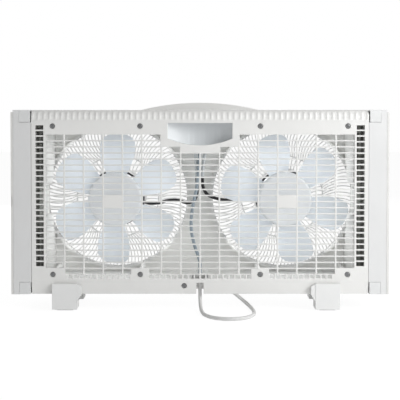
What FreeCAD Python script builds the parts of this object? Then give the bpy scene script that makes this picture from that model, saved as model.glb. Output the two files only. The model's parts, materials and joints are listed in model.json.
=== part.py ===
import FreeCAD, Part
import math
import os
import re

import Sketcher

# A twin window fan, seen from its rear: X to the right, Y from the rear grille to the room,
# Z up. The origin is on the surface it stands on, under the middle of the housing.
V = FreeCAD.Vector
RIGHT = V(1, 0, 0)
INWARD = V(0, 1, 0)
UP = V(0, 0, 1)
SIDES = (("left", -1), ("right", 1))

# Driving dimensions, in millimetres unless the name says otherwise.
SIZES = {
    "overall_width": 610,
    "cap_width": 33,
    "housing_height": 298,
    "housing_depth": 104,
    "foot_lift": 26,
    "fan_rise": 150,
    "wall_thick": 2.5,
    "cover_plate": 3,
    "cover_depth": 36,
    "shoulder_radius": 12,
    "front_edge_radius": 8,
    "skirt_height": 21,
    "skirt_set_back": 2.5,
    "floor_rise": 18.5,
    "orifice_spacing": 281.7,
    "orifice_radius": 121,
    "orifice_ring": 9,
    "grille_columns": 16,
    "column_rib": 2.6,
    "bar_pitch": 9.84,
    "bar_height": 2.3,
    "bar_inset": 0.4,
    "square_pitch": 9.31,
    "square_width": 6.9,
    "square_height": 6.4,
    "square_rise": 28.5,
    "slot_pitch": 9.2,
    "slot_height": 6.9,
    "slot_width": 12.8,
    "slot_inset": 19.6,
    "slot_rise": 45.5,
    "notch_width": 11.8,
    "grip_width": 104,
    "grip_top_drop": 17,
    "grip_height": 40,
    "grip_arc": 128,
    "grip_depth": 26,
    "grip_wall": 2.2,
    "grip_flange": 4.5,
    "post_radius": 4.2,
    "boss_wall": 2,
    "boss_pad_half": 14.5,
    "boss_pad_rows": 1.3,
    "post_inner_x": 97,
    "post_outer_inset": 34,
    "post_top_drop": 26,
    "post_low_rise": 32,
    "screw_shank": 1.5,
    "screw_head": 4.1,
    "screw_head_thick": 2.4,
    "screw_length": 16,
    "seat_radius": 4.5,
    "skirt_screw_x": -25.8,
    "skirt_screw_rise": 13.5,
    "skirt_block_half": 5,
    "hole_slack": 0.15,
    "fit_gap": 0.3,
    "run_gap": 0.05,
    "press_gap": 0.02,
    "bay_wall_inset": 24.5,
    "hump_half": 98,
    "hump_rise": 12,
    "hump_depth": 50,
    "cap_gap": 0.4,
    "clip_width": 19.5,
    "clip_gap": 1.4,
    "clip_height": 20,
    "strip_width": 3.4,
    "strip_drop": 3.5,
    "strip_groove": 0.6,
    "scallop_radius": 24,
    "scallop_reach": 2.8,
    "scallop_depth": 1.6,
    "rail_depth": 24,
    "rail_height": 9,
    "rail_wall": 2,
    "rail_inner_x": 80,
    "rail_reach": 14,
    "rail_drop": 5,
    "guide_rib": 2,
    "guide_inner_x": 104,
    "fold_inset": 19,
    "fold_step": 3.05,
    "fold_pairs": 8,
    "fold_depth": 78,
    "fold_thick": 0.5,
    "fold_middle_y": -6,
    "blade_tip": 108.5,
    "tip_gap": 3,
    "blade_crown": 16.5,
    "blade_thick": 1.8,
    "blade_pitch_deg": 28,
    "blade_half_deg": 21.5,
    "blade_middle_y": 3,
    "hub_radius": 45,
    "hub_wall": 2.2,
    "hub_rear_y": -14,
    "hub_depth": 24,
    "hub_boss": 8,
    "shaft_radius": 4,
    "shaft_rear_y": -23,
    "core_radius": 22,
    "core_depth": 11,
    "motor_radius": 47.5,
    "motor_rear_y": 15.5,
    "motor_depth": 23,
    "motor_wall": 2.2,
    "motor_cover_thick": 3,
    "bush_radius": 8,
    "bush_length": 6,
    "bolt_circle": 34,
    "bolt_radius": 1.6,
    "bolt_head": 3.2,
    "bolt_head_thick": 2.2,
    "grille_ribs": 60,
    "grille_rib": 1.3,
    "grille_depth": 5,
    "grille_mid_radius": 70,
    "grille_hub_radius": 49,
    "grille_ring": 1.8,
    "grille_post": 4.5,
    "rib_lean_deg": 2,
    "rib_bow_deg": 3.3,
    "panel_width": 86,
    "panel_height": 44,
    "panel_top_drop": 6,
    "panel_flange": 3,
    "leg_inset_x": 5,
    "leg_inset_z": 3.5,
    "display_width": 42,
    "display_height": 14,
    "button_radius": 4.9,
    "button_pitch": 20,
    "button_travel": 1.2,
    "board_thick": 1.6,
    "board_margin": 2,
    "board_set_back": 16,
    "switch_size": 6,
    "switch_height": 3.4,
    "cord_radius": 2.9,
    "lead_radius": 2.7,
    "relay_low_x": -30,
    "relay_high_x": -12,
    "relay_height": 12,
    "digits_half": 18,
    "connector_half": 16,
    "relief_length": 26,
    "relief_top_radius": 4.6,
    "cord_exit_y": -38,
    "clamp_screw_x": 10,
    "clamp_height": 12,
    "clamp_thick": 4,
    "coil_radius": 32,
    "coil_half_width": 8.9,
    "coil_height": 12,
    "coil_x": 8,
    "coil_y": 168,
    "plug_width": 24,
    "plug_length": 34,
    "plug_height": 14,
    "pin_spacing": 12.7,
    "pin_thick": 1.5,
    "pin_length": 17,
    "pin_width": 6.4,
    "foot_width": 40,
    "foot_wall": 5.7,
    "foot_left_x": -218.5,
    "foot_right_x": 206,
    "foot_wrap": 18,
    "foot_tab": 7,
    "foot_leg": 29,
    "foot_arch": 13,
    "foot_round": 4,
    "pad_thick": 2,
    "pad_inset": 7,
}

doc = FreeCAD.newDocument("twin_window_fan")
sheet = doc.addObject("Spreadsheet::Sheet", "sizes")
for row, (name, value) in enumerate(SIZES.items(), start=1):
    sheet.set(f"A{row}", name)
    sheet.set(f"B{row}", str(value))
    sheet.setAlias(f"B{row}", name)
doc.recompute()

# Places that several pieces share, as formulas in the sheet's names.
REAR = "(-housing_depth / 2)"
FRONT = "(housing_depth / 2)"
PLATE_BACK = "(-housing_depth / 2 + cover_plate)"
SPLIT = "(-housing_depth / 2 + cover_depth)"
BOTTOM = "foot_lift"
TOP = "(foot_lift + housing_height)"
FLOOR_LOW = "(foot_lift + floor_rise)"
FLOOR_HIGH = "(foot_lift + floor_rise + wall_thick)"
FAN_Z = "(foot_lift + fan_rise)"
HALF = "(overall_width / 2 - cap_width)"
COLUMN = "(orifice_spacing / (grille_columns / 2 + 1))"
GRIP_TOP = f"({TOP} - grip_top_drop)"
GRIP_LOW = f"({TOP} - grip_top_drop - grip_height)"
MOTOR_FRONT = "(motor_rear_y + motor_depth)"
COVER_FRONT = "(motor_rear_y + motor_depth + motor_cover_thick)"
CAP_IN = f"({HALF} + cap_gap)"
CAP_OUT = "(overall_width / 2)"
TOP_RAIL = (f"({TOP} - wall_thick - rail_drop - rail_height)", f"({TOP} - wall_thick - rail_drop)")
LOW_RAIL = (f"({FLOOR_LOW} - fit_gap - rail_height)", f"({FLOOR_LOW} - fit_gap)")
CLAMP_FRONT = "(cord_exit_y - relief_top_radius - fit_gap)"
CLAMP_SCREW_Z = f"({FLOOR_HIGH} + clamp_height / 2 + 1)"
PANEL_TOP = f"({TOP} - panel_top_drop)"
PANEL_LOW = f"({TOP} - panel_top_drop - panel_height)"

nodes = {}


def size(name):
    """One driving dimension, read from the sheet."""
    return float(sheet.get(name))


def linked(formula):
    """A formula in size names, as an expression on the sheet's cells."""
    return re.sub(r"\b[a-z]+(?:_[a-z]+)+\b", lambda word: "sizes." + word.group(), str(formula))


def bind(thing, **formulas):
    for name, formula in formulas.items():
        thing.setExpression(name, linked(formula))


def place(thing, x="0", y="0", z="0"):
    for axis, formula in zip("xyz", (x, y, z)):
        thing.setExpression(f"Placement.Base.{axis}", linked(formula))


def box(label, x, y, z):
    """A block between the (low, high) formulas of each axis."""
    block = doc.addObject("Part::Box", label)
    spans = [f"({high}) - ({low})" for low, high in (x, y, z)]
    bind(block, Length=spans[0], Width=spans[1], Height=spans[2])
    place(block, x[0], y[0], z[0])
    return block


def rod(label, radius, y, x="0", z="0"):
    """A cylinder along Y."""
    cylinder = doc.addObject("Part::Cylinder", label)
    bind(cylinder, Radius=radius, Height=f"({y[1]}) - ({y[0]})")
    cylinder.Placement.Rotation = FreeCAD.Rotation(RIGHT, -90)
    place(cylinder, x, y[0], z)
    return cylinder


def post(label, radius, z, x="0", y="0"):
    """A cylinder along Z."""
    cylinder = doc.addObject("Part::Cylinder", label)
    bind(cylinder, Radius=radius, Height=f"({z[1]}) - ({z[0]})")
    place(cylinder, x, y, z[0])
    return cylinder


def union(label, pieces):
    joined = doc.addObject("Part::MultiFuse", label)
    joined.Shapes = pieces
    return joined


def group(label, pieces):
    """Separate solids that share one label."""
    gathered = doc.addObject("Part::Compound", label)
    gathered.Links = pieces
    return gathered


def minus(label, base, tools):
    """The base without its tools; the tools stay clear of each other."""
    cut = doc.addObject("Part::Cut", label)
    cut.Base = base
    cut.Tool = tools[0] if len(tools) == 1 else group(label + "_cutters", tools)
    return cut


def shared(label, pieces):
    overlap = doc.addObject("Part::MultiCommon", label)
    overlap.Shapes = pieces
    return overlap


def made(label, shape):
    """A sub-part whose shape is worked out here from the sheet's values."""
    thing = doc.addObject("Part::Feature", label)
    thing.Shape = shape
    return thing


def keep(name, thing):
    """Registers a finished sub-part under the name of its file."""
    thing.Label = name
    nodes[name] = thing
    return thing


def origin_feature(body, role):
    return next(item for item in body.Origin.OriginFeatures if item.Role == role)


def outlined_body(label, plane, corners):
    """A body with one closed sketch of straight sides, each corner tied to the sheet."""
    body = doc.addObject("PartDesign::Body", label)
    sketch = body.newObject("Sketcher::SketchObject", label + "_outline")
    sketch.AttachmentSupport = (origin_feature(body, plane), [""])
    sketch.MapMode = "FlatFace"
    count = len(corners)
    turns = [2 * math.pi * k / count for k in range(count)]
    start = [V(math.cos(turn), math.sin(turn), 0) for turn in turns]
    for k in range(count):
        sketch.addGeometry(Part.LineSegment(start[k], start[(k + 1) % count]))
    for k in range(count):
        sketch.addConstraint(Sketcher.Constraint("Coincident", k, 2, (k + 1) % count, 1))
    for k, corner in enumerate(corners):
        for kind, formula in zip(("DistanceX", "DistanceY"), corner):
            index = sketch.addConstraint(Sketcher.Constraint(kind, -1, 1, k, 1, 1.0))
            sketch.setExpression(f"Constraints[{index}]", linked(formula))
    return body, sketch


def padded(label, plane, corners, length):
    """An outline padded equally to both sides of its plane."""
    body, sketch = outlined_body(label, plane, corners)
    pad = body.newObject("PartDesign::Pad", label + "_pad")
    pad.Profile = sketch
    pad.Midplane = True
    bind(pad, Length=length)
    return body


def turned(label, corners, x="0", z="0"):
    """An outline of (radius, y) corners turned about an axis along Y."""
    body, sketch = outlined_body(label, "XY_Plane", corners)
    turn = body.newObject("PartDesign::Revolution", label + "_turn")
    turn.Profile = sketch
    turn.ReferenceAxis = (sketch, ["V_Axis"])
    turn.Angle = 360
    place(body, x, "0", z)
    return body


def edges_along_x(shape, y, z, slack=0.01):
    """The edges that run along X at the given y and z."""
    found = []
    for number, edge in enumerate(shape.Edges, start=1):
        ends = [vertex.Point for vertex in edge.Vertexes]
        if len(ends) == 2 and all(abs(p.y - y) < slack and abs(p.z - z) < slack for p in ends):
            found.append(f"Edge{number}")
    return found


def rounded_along_x(body, places):
    """Fillets a body's long edges, each given as y, z and a radius formula."""
    for number, (y, z, radius) in enumerate(places):
        doc.recompute()
        previous = body.Tip
        fillet = body.newObject("PartDesign::Fillet", f"{body.Name}_round_{number}")
        fillet.Base = (previous, edges_along_x(previous.Shape, y, z))
        bind(fillet, Radius=radius)
        body.Tip = fillet


def side_span(sign, near, far):
    """The low and high x of a stretch between two distances from the middle."""
    return (near, far) if sign > 0 else (f"-({far})", f"-({near})")


def fan_x(sign):
    return f"({sign}) * orifice_spacing / 2"


# ---------------------------------------------------------------- rear cover
def cover_channel():
    """The cover's section: a plate with a rounded shoulder, a floor and a hanging skirt."""
    skirt_top = f"({BOTTOM} + skirt_height)"
    corners = [
        (SPLIT, TOP),
        (REAR, TOP),
        (REAR, skirt_top),
        (f"{REAR} + skirt_set_back", BOTTOM),
        (f"{PLATE_BACK} + skirt_set_back", BOTTOM),
        (f"{PLATE_BACK} + skirt_set_back / 2", FLOOR_LOW),
        (SPLIT, FLOOR_LOW),
        (SPLIT, FLOOR_HIGH),
        (PLATE_BACK, FLOOR_HIGH),
        (PLATE_BACK, f"{TOP} - wall_thick"),
        (SPLIT, f"{TOP} - wall_thick"),
    ]
    body = padded("cover_channel", "YZ_Plane", corners, f"2 * {HALF}")
    rear = -size("housing_depth") / 2
    top = size("foot_lift") + size("housing_height")
    inner_radius = "shoulder_radius - wall_thick"
    rounded_along_x(body, [
        (rear, top, "shoulder_radius"),
        (rear + size("cover_plate"), top - size("wall_thick"), inner_radius),
    ])
    return body


def grille_rows(column):
    """How many rows of gaps a column has above and below the fans' axis."""
    from_side = min(column, int(size("grille_columns")) - 1 - column)
    above = {6: 9, 7: 8}.get(from_side, 11)
    below = 11 if from_side == 0 else 12
    return above, below


def cover_openings():
    """Cutters for the grille columns, the row of squares, the side slots and the cord notch."""
    through = (f"{REAR} - 1", f"{PLATE_BACK} + 0.5")
    cutters = []
    half_count = int(size("grille_columns")) // 2
    for column in range(2 * half_count):
        above, below = grille_rows(column)
        x = (
            f"({column - half_count}) * {COLUMN} + column_rib / 2",
            f"({column - half_count + 1}) * {COLUMN} - column_rib / 2",
        )
        z = (f"{FAN_Z} - {below} * bar_pitch + bar_height / 2", f"{FAN_Z} + {above} * bar_pitch")
        cutters.append(box(f"column_gap_{column}", x, through, z))
    squares = [k for k in range(-23, 23) if k + 0.5 < -12 or abs(k + 0.5) < 9 or k + 0.5 > 12]
    for k in squares:
        middle = f"({k + 0.5}) * square_pitch"
        x = (f"{middle} - square_width / 2", f"{middle} + square_width / 2")
        low = f"{BOTTOM} + square_rise - square_height / 2"
        cutters.append(box(f"square_{k}", x, through, (low, f"{low} + square_height")))
    for side, sign in SIDES:
        x = side_span(sign, f"{HALF} - slot_inset", f"{HALF} - slot_inset + slot_width")
        for row in range(25):
            low = f"{BOTTOM} + slot_rise + {row} * slot_pitch"
            cutters.append(box(f"slot_{side}_{row}", x, through, (low, f"{low} + slot_height")))
    notch = box(
        "cord_notch",
        ("-notch_width / 2", "notch_width / 2"),
        (f"{REAR} - 1", f"{PLATE_BACK} + skirt_set_back + 1"),
        (f"{BOTTOM} - 1", FLOOR_LOW),
    )
    cutters.append(notch)
    return cutters


def cover_bars():
    """Bars across the columns, the blank pads behind each fan and the screw bosses."""
    inside = (f"{REAR} + bar_inset", f"{PLATE_BACK} - bar_inset")
    bars = []
    half_grille = f"grille_columns / 2 * {COLUMN}"
    for row in range(-11, 11):
        low = f"{FAN_Z} + ({row}) * bar_pitch - bar_height / 2"
        x = (f"-{half_grille}", half_grille)
        bars.append(box(f"bar_{row}", x, inside, (low, f"{low} + bar_height")))
    for side, sign in SIDES:
        x = (f"{fan_x(sign)} - {COLUMN} / 2", f"{fan_x(sign)} + {COLUMN} / 2")
        z = (f"{FAN_Z} - bar_pitch", f"{FAN_Z} + bar_pitch")
        bars.append(box(f"centre_pad_{side}", x, inside, z))
        x = side_span(sign, "post_inner_x - boss_pad_half", "post_inner_x + boss_pad_half")
        z = (f"{FAN_Z} - (11 + boss_pad_rows) * bar_pitch", f"{FAN_Z} - 11 * bar_pitch")
        bars.append(box(f"boss_pad_{side}", x, inside, z))
    for number, (x, z) in enumerate(screw_places()):
        y = (f"{PLATE_BACK} - 1", f"{PLATE_BACK} + 4")
        bars.append(rod(f"screw_boss_{number}", "post_radius + boss_wall", y, x, z))
    return bars


def screw_places():
    """The x and z formulas of the eight screws that hold the cover to the front shell."""
    spots = []
    for _, sign in SIDES:
        for x in ("post_inner_x", f"({HALF} - post_outer_inset)"):
            for z in (f"{TOP} - post_top_drop", f"{BOTTOM} + post_low_rise"):
                spots.append((f"({sign}) * {x}", z))
    return spots


SKIRT_SCREW = ("skirt_screw_x", f"{BOTTOM} + skirt_screw_rise")
SKIRT_SCREW_REAR = f"({REAR} + skirt_set_back + 1)"


def screw_cutters(label, x, z, seat_y, depth):
    """A head's seat and a clearance hole behind it."""
    seat = rod(label + "_seat", "seat_radius", (f"{seat_y} - 4", seat_y), x, z)
    hole = rod(label + "_hole", "screw_shank + hole_slack", (seat_y, f"{seat_y} + {depth}"), x, z)
    return union(label, [seat, hole])


def make_rear_cover():
    opened = minus("cover_opened", cover_channel(), cover_openings())
    latticed = union("cover_latticed", [opened] + cover_bars())
    seat_y = f"{REAR} + screw_head_thick"
    cutters = [
        screw_cutters(f"cover_screw_hole_{number}", x, z, seat_y, 8)
        for number, (x, z) in enumerate(screw_places())
    ]
    cutters.append(screw_cutters("skirt_screw_hole", *SKIRT_SCREW, SKIRT_SCREW_REAR, 6))
    floor_z = (f"{FLOOR_LOW} - 1", f"{FLOOR_HIGH} + 1")
    cutters.append(post("relief_hole", "relief_top_radius + hole_slack", floor_z, "0", "cord_exit_y"))
    cutters.append(grip_region("grip_hole", "0", (f"{REAR} - 1", f"{PLATE_BACK} + 1")))
    keep("rear_cover", minus("rear_cover", latticed, cutters))


# ---------------------------------------------------------------- hand grip
def grip_region(label, grow, y):
    """The grip's outline, straight at the top and sides and arched below, as a block."""
    x = (f"-grip_width / 2 - {grow}", f"grip_width / 2 + {grow}")
    block = box(label + "_block", x, y, (f"{GRIP_LOW} - {grow}", f"{GRIP_TOP} + {grow}"))
    arch = rod(label + "_arch", f"grip_arc + {grow}", y, "0", f"{GRIP_LOW} + grip_arc")
    return shared(label, [block, arch])


def make_grip_cup():
    """A scooped pocket with a flange behind the cover's plate."""
    deepest = f"({REAR} + grip_depth)"
    scoop_radius = "((grip_width / 2 + 8) ^ 2 / (2 * grip_depth) + grip_depth / 2)"
    z = (f"{GRIP_LOW} - 20", f"{GRIP_TOP} + 20")
    middle = f"({deepest} - {scoop_radius})"
    outer_scoop = post("grip_outer_scoop", f"{scoop_radius} + grip_wall", z, "0", middle)
    inner_scoop = post("grip_inner_scoop", scoop_radius, z, "0", middle)
    behind = (PLATE_BACK, "0")
    shell = shared("grip_shell", [grip_region("grip_outer", "grip_wall", behind), outer_scoop])
    flange = grip_region("grip_flange_plate", "grip_flange", (PLATE_BACK, f"{PLATE_BACK} + 1.8"))
    hollow = grip_region("grip_inner", "0", (f"{REAR} - 5", "0"))
    scooped = shared("grip_hollow", [hollow, inner_scoop])
    keep("grip_cup", minus("grip_cup", union("grip_solid", [shell, flange]), [scooped]))


# ---------------------------------------------------------------- front shell
def shell_channel():
    corners = [
        (SPLIT, TOP),
        (SPLIT, f"{TOP} - wall_thick"),
        (f"{FRONT} - wall_thick", f"{TOP} - wall_thick"),
        (f"{FRONT} - wall_thick", FLOOR_HIGH),
        (SPLIT, FLOOR_HIGH),
        (SPLIT, FLOOR_LOW),
        (f"{FRONT} - wall_thick", FLOOR_LOW),
        (f"{FRONT} - wall_thick", BOTTOM),
        (FRONT, BOTTOM),
        (FRONT, TOP),
    ]
    body = padded("shell_channel", "YZ_Plane", corners, f"2 * {HALF}")
    top = size("foot_lift") + size("housing_height")
    rounded_along_x(body, [(size("housing_depth") / 2, top, "front_edge_radius")])
    return body


def control_hump():
    """The arched bulge over the controls, hollow inside."""
    radius = "(hump_half ^ 2 / (2 * hump_rise) + hump_rise / 2)"
    centre_z = f"({TOP} + hump_rise - {radius})"
    y = (f"{FRONT} - hump_depth", FRONT)
    block = box("hump_block", ("-hump_half", "hump_half"), y, (f"{TOP} - 1", f"{TOP} + hump_rise + 1"))
    outer = shared("hump_outer", [block, rod("hump_arch", radius, y, "0", centre_z)])
    inner_y = (f"{FRONT} - hump_depth + wall_thick", f"{FRONT} - wall_thick")
    inner_block = box(
        "hump_inner_block",
        ("-hump_half / 2", "hump_half / 2"),
        inner_y,
        (f"{TOP} + 0.5", f"{TOP} + hump_rise + 1"),
    )
    inner_arch = rod("hump_inner_arch", f"{radius} - wall_thick", inner_y, "0", centre_z)
    return minus("control_hump", outer, [shared("hump_inner", [inner_block, inner_arch])])


def control_brow():
    """Fills the rounded front edge under the bulge."""
    x = ("-hump_half", "hump_half")
    low = f"{TOP} - front_edge_radius - 1"
    rear = f"{FRONT} - front_edge_radius - 1"
    return [
        box("brow_front", x, (f"{FRONT} - wall_thick", FRONT), (low, TOP)),
        box("brow_top", x, (rear, FRONT), (f"{TOP} - wall_thick", TOP)),
    ]


def rail_guides(side, sign):
    """Ribs with lips that carry the two extender rails of one side."""
    x = side_span(sign, "guide_inner_x", f"{HALF} - 1")
    ribs = []
    outer = "(rail_depth / 2 + fit_gap + guide_rib)"
    for height, (low, high), base in (
        ("top", TOP_RAIL, f"{TOP} - wall_thick + 0.5"),
        ("low", LOW_RAIL, f"{FLOOR_LOW} + 0.5"),
    ):
        lip_z = (f"{low} - fit_gap - guide_rib", f"{low} - fit_gap")
        for edge, flip in (("rear", -1), ("front", 1)):
            rib_y = side_span(flip, "rail_depth / 2 + fit_gap", outer)
            lip_y = side_span(flip, "rail_depth / 2 - 3", outer)
            tag = f"{side}_{height}_{edge}"
            ribs.append(box(f"guide_rib_{tag}", x, rib_y, (lip_z[0], base)))
            ribs.append(box(f"guide_lip_{tag}", x, lip_y, lip_z))
    return ribs


def make_front_shell():
    pieces = [shell_channel(), control_hump()] + control_brow()
    ring_y = (f"{FRONT} - wall_thick - orifice_ring", f"{FRONT} - 0.5")
    holes = []
    for side, sign in SIDES:
        ring_radius = "orifice_radius + wall_thick"
        pieces.append(rod(f"orifice_ring_{side}", ring_radius, ring_y, fan_x(sign), FAN_Z))
        hole_y = (f"{FRONT} - 30", f"{FRONT} + 1")
        holes.append(rod(f"orifice_hole_{side}", "orifice_radius", hole_y, fan_x(sign), FAN_Z))
        swept_y = (f"{PLATE_BACK} + 1", f"{FRONT} - 30")
        holes.append(rod(f"blade_room_{side}", "blade_tip + tip_gap", swept_y, fan_x(sign), FAN_Z))
        bay_x = side_span(sign, f"{HALF} - bay_wall_inset", f"{HALF} - bay_wall_inset + guide_rib")
        bay_y = (f"{PLATE_BACK} + 1.5", f"{FRONT} - wall_thick + 0.5")
        bay_z = (f"{FLOOR_HIGH} + fit_gap", f"{TOP_RAIL[0]} - guide_rib")
        pieces.append(box(f"bay_wall_{side}", bay_x, bay_y, bay_z))
        pieces += rail_guides(side, sign)
    for number, (x, z) in enumerate(screw_places()):
        y = (f"{PLATE_BACK} + 4", f"{FRONT} - 0.5")
        pieces.append(rod(f"screw_post_{number}", "post_radius", y, x, z))
        pilot_y = (f"{PLATE_BACK} + 3", f"{REAR} + screw_head_thick + screw_length + 2")
        holes.append(rod(f"screw_pilot_{number}", "screw_shank + press_gap", pilot_y, x, z))
    pieces.append(box(
        "skirt_screw_block",
        (f"{SKIRT_SCREW[0]} - skirt_block_half", f"{SKIRT_SCREW[0]} + skirt_block_half"),
        (f"{PLATE_BACK} + skirt_set_back + fit_gap", f"{SPLIT} + 4"),
        (f"{BOTTOM} + 4", f"{FLOOR_LOW} - fit_gap"),
    ))
    pieces.append(box(
        "skirt_screw_web",
        (f"{SKIRT_SCREW[0]} - skirt_block_half", f"{SKIRT_SCREW[0]} + skirt_block_half"),
        (f"{SPLIT} + fit_gap", f"{SPLIT} + 4"),
        (f"{BOTTOM} + 5", f"{FLOOR_LOW} + 1"),
    ))
    for side, sign in SIDES:
        x = side_span(sign, "clamp_screw_x - 3", "clamp_screw_x + 3")
        arm_z = (f"{FLOOR_HIGH} + fit_gap", f"{FLOOR_HIGH} + clamp_height")
        pieces.append(box(f"clamp_arm_{side}", x, (CLAMP_FRONT, f"{SPLIT} + 4"), arm_z))
        arm_foot_z = (f"{FLOOR_HIGH} - 1", f"{FLOOR_HIGH} + 1")
        pieces.append(box(f"clamp_arm_foot_{side}", x, (f"{SPLIT} + fit_gap", f"{SPLIT} + 4"), arm_foot_z))
        pilot_y = (f"{CLAMP_FRONT} - 1", f"{CLAMP_FRONT} + 9")
        pilot_x = f"({sign}) * clamp_screw_x"
        holes.append(rod(f"clamp_pilot_{side}", "screw_shank + press_gap", pilot_y, pilot_x, CLAMP_SCREW_Z))
    pilot_y = (PLATE_BACK, f"{SKIRT_SCREW_REAR} + screw_length - 2")
    holes.append(rod("skirt_screw_pilot", "screw_shank + press_gap", pilot_y, *SKIRT_SCREW))
    holes.append(box(
        "panel_hole",
        ("-panel_width / 2 - hole_slack", "panel_width / 2 + hole_slack"),
        (f"{FRONT} - 6", f"{FRONT} + 1"),
        (f"{PANEL_LOW} - hole_slack", f"{PANEL_TOP} + hole_slack"),
    ))
    keep("front_shell", minus("front_shell", union("shell_solid", pieces), holes))


# ---------------------------------------------------------------- front grilles
def polar(radius, angle):
    """A point in the grille's own plane, its axis along Y."""
    return V(radius * math.cos(angle), 0, radius * math.sin(angle))


def swirl_angle(radius, inner, outer):
    """How far a rib has swung round from its root, leaning and bowed."""
    part = (radius - inner) / (outer - inner)
    reach = (outer - inner) / (size("orifice_radius") - size("grille_mid_radius"))
    bow = size("rib_bow_deg") * reach * math.sin(math.pi * part)
    return math.radians(size("rib_lean_deg") * part + bow)


def window_wire(inner, outer, start, width):
    """One gap between two neighbouring ribs, with bowed sides."""
    def at(radius, side):
        half_rib = math.asin(size("grille_rib") / 2 / radius)
        edge = start + half_rib if side < 0 else start + width - half_rib
        return polar(radius, edge + swirl_angle(radius, inner, outer))

    middle = (inner + outer) / 2
    sides = [Part.Arc(at(inner, side), at(middle, side), at(outer, side)).toShape() for side in (-1, 1)]
    ends = []
    for radius in (inner, outer):
        low, high = at(radius, -1), at(radius, 1)
        crest = (low + high).normalize() * radius
        ends.append(Part.Arc(low, crest, high).toShape())
    return Part.Wire(Part.__sortEdges__([sides[0], ends[1], sides[1], ends[0]]))


def swirl_plate():
    """The flat of the grille: two zones of curved ribs around a plain disc, twice as many outside."""
    ring = size("grille_ring")
    outer = size("orifice_radius") - size("fit_gap")
    zones = (
        (size("grille_mid_radius") + ring / 2, outer - ring, 2 * int(size("grille_ribs"))),
        (size("grille_hub_radius"), size("grille_mid_radius") - ring / 2, int(size("grille_ribs"))),
    )
    wires = [Part.Wire(Part.makeCircle(outer, V(), INWARD))]
    for inner_edge, outer_edge, ribs in zones:
        pitch = 2 * math.pi / ribs
        for k in range(ribs):
            wires.append(window_wire(inner_edge, outer_edge, k * pitch, pitch))
    face = Part.makeFace(wires, "Part::FaceMakerBullseye")
    return face.extrude(INWARD * size("grille_depth"))


def make_front_grille(side, sign):
    plate = swirl_plate()
    plate.translate(V(0, size("housing_depth") / 2 - size("grille_depth"), 0))
    front = size("housing_depth") / 2
    ring_y = front - size("wall_thick") - size("orifice_ring")
    outer = size("orifice_radius") - size("fit_gap")
    ring_depth = front - ring_y - size("grille_depth") / 2
    ring = Part.makeCylinder(outer, ring_depth, V(0, ring_y, 0), INWARD).cut(
        Part.makeCylinder(outer - size("grille_ring"), ring_depth + 2, V(0, ring_y - 1, 0), INWARD)
    )
    seat_y = size("motor_rear_y") + size("motor_depth") + size("motor_cover_thick")
    posts = []
    pilots = []
    for k in range(4):
        spot = polar(size("bolt_circle"), math.pi / 4 + k * math.pi / 2)
        base = spot + V(0, seat_y, 0)
        posts.append(Part.makeCylinder(size("grille_post"), front - seat_y - 2, base, INWARD))
        pilots.append(Part.makeCylinder(size("bolt_radius") + size("press_gap"), 6, base, INWARD))
    shape = plate.multiFuse([ring] + posts).cut(Part.makeCompound(pilots))
    grille = made(f"front_grille_{side}", shape.removeSplitter())
    grille.Placement.Base = V(sign * size("orifice_spacing") / 2, 0, size("foot_lift") + size("fan_rise"))
    keep(f"front_grille_{side}", grille)


# ---------------------------------------------------------------- motors
BOLT_SPOTS = [(i, j) for i in (-1, 1) for j in (-1, 1)]
BOLT_STEP = "bolt_circle * cos(45)"


def bolt_rods(label, sign, radius, y):
    """Four rods along Y on a motor's bolt circle."""
    rods = []
    for i, j in BOLT_SPOTS:
        x = f"{fan_x(sign)} + ({i}) * {BOLT_STEP}"
        z = f"{FAN_Z} + ({j}) * {BOLT_STEP}"
        rods.append(rod(f"{label}_{i}_{j}", radius, y, x, z))
    return rods


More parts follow.
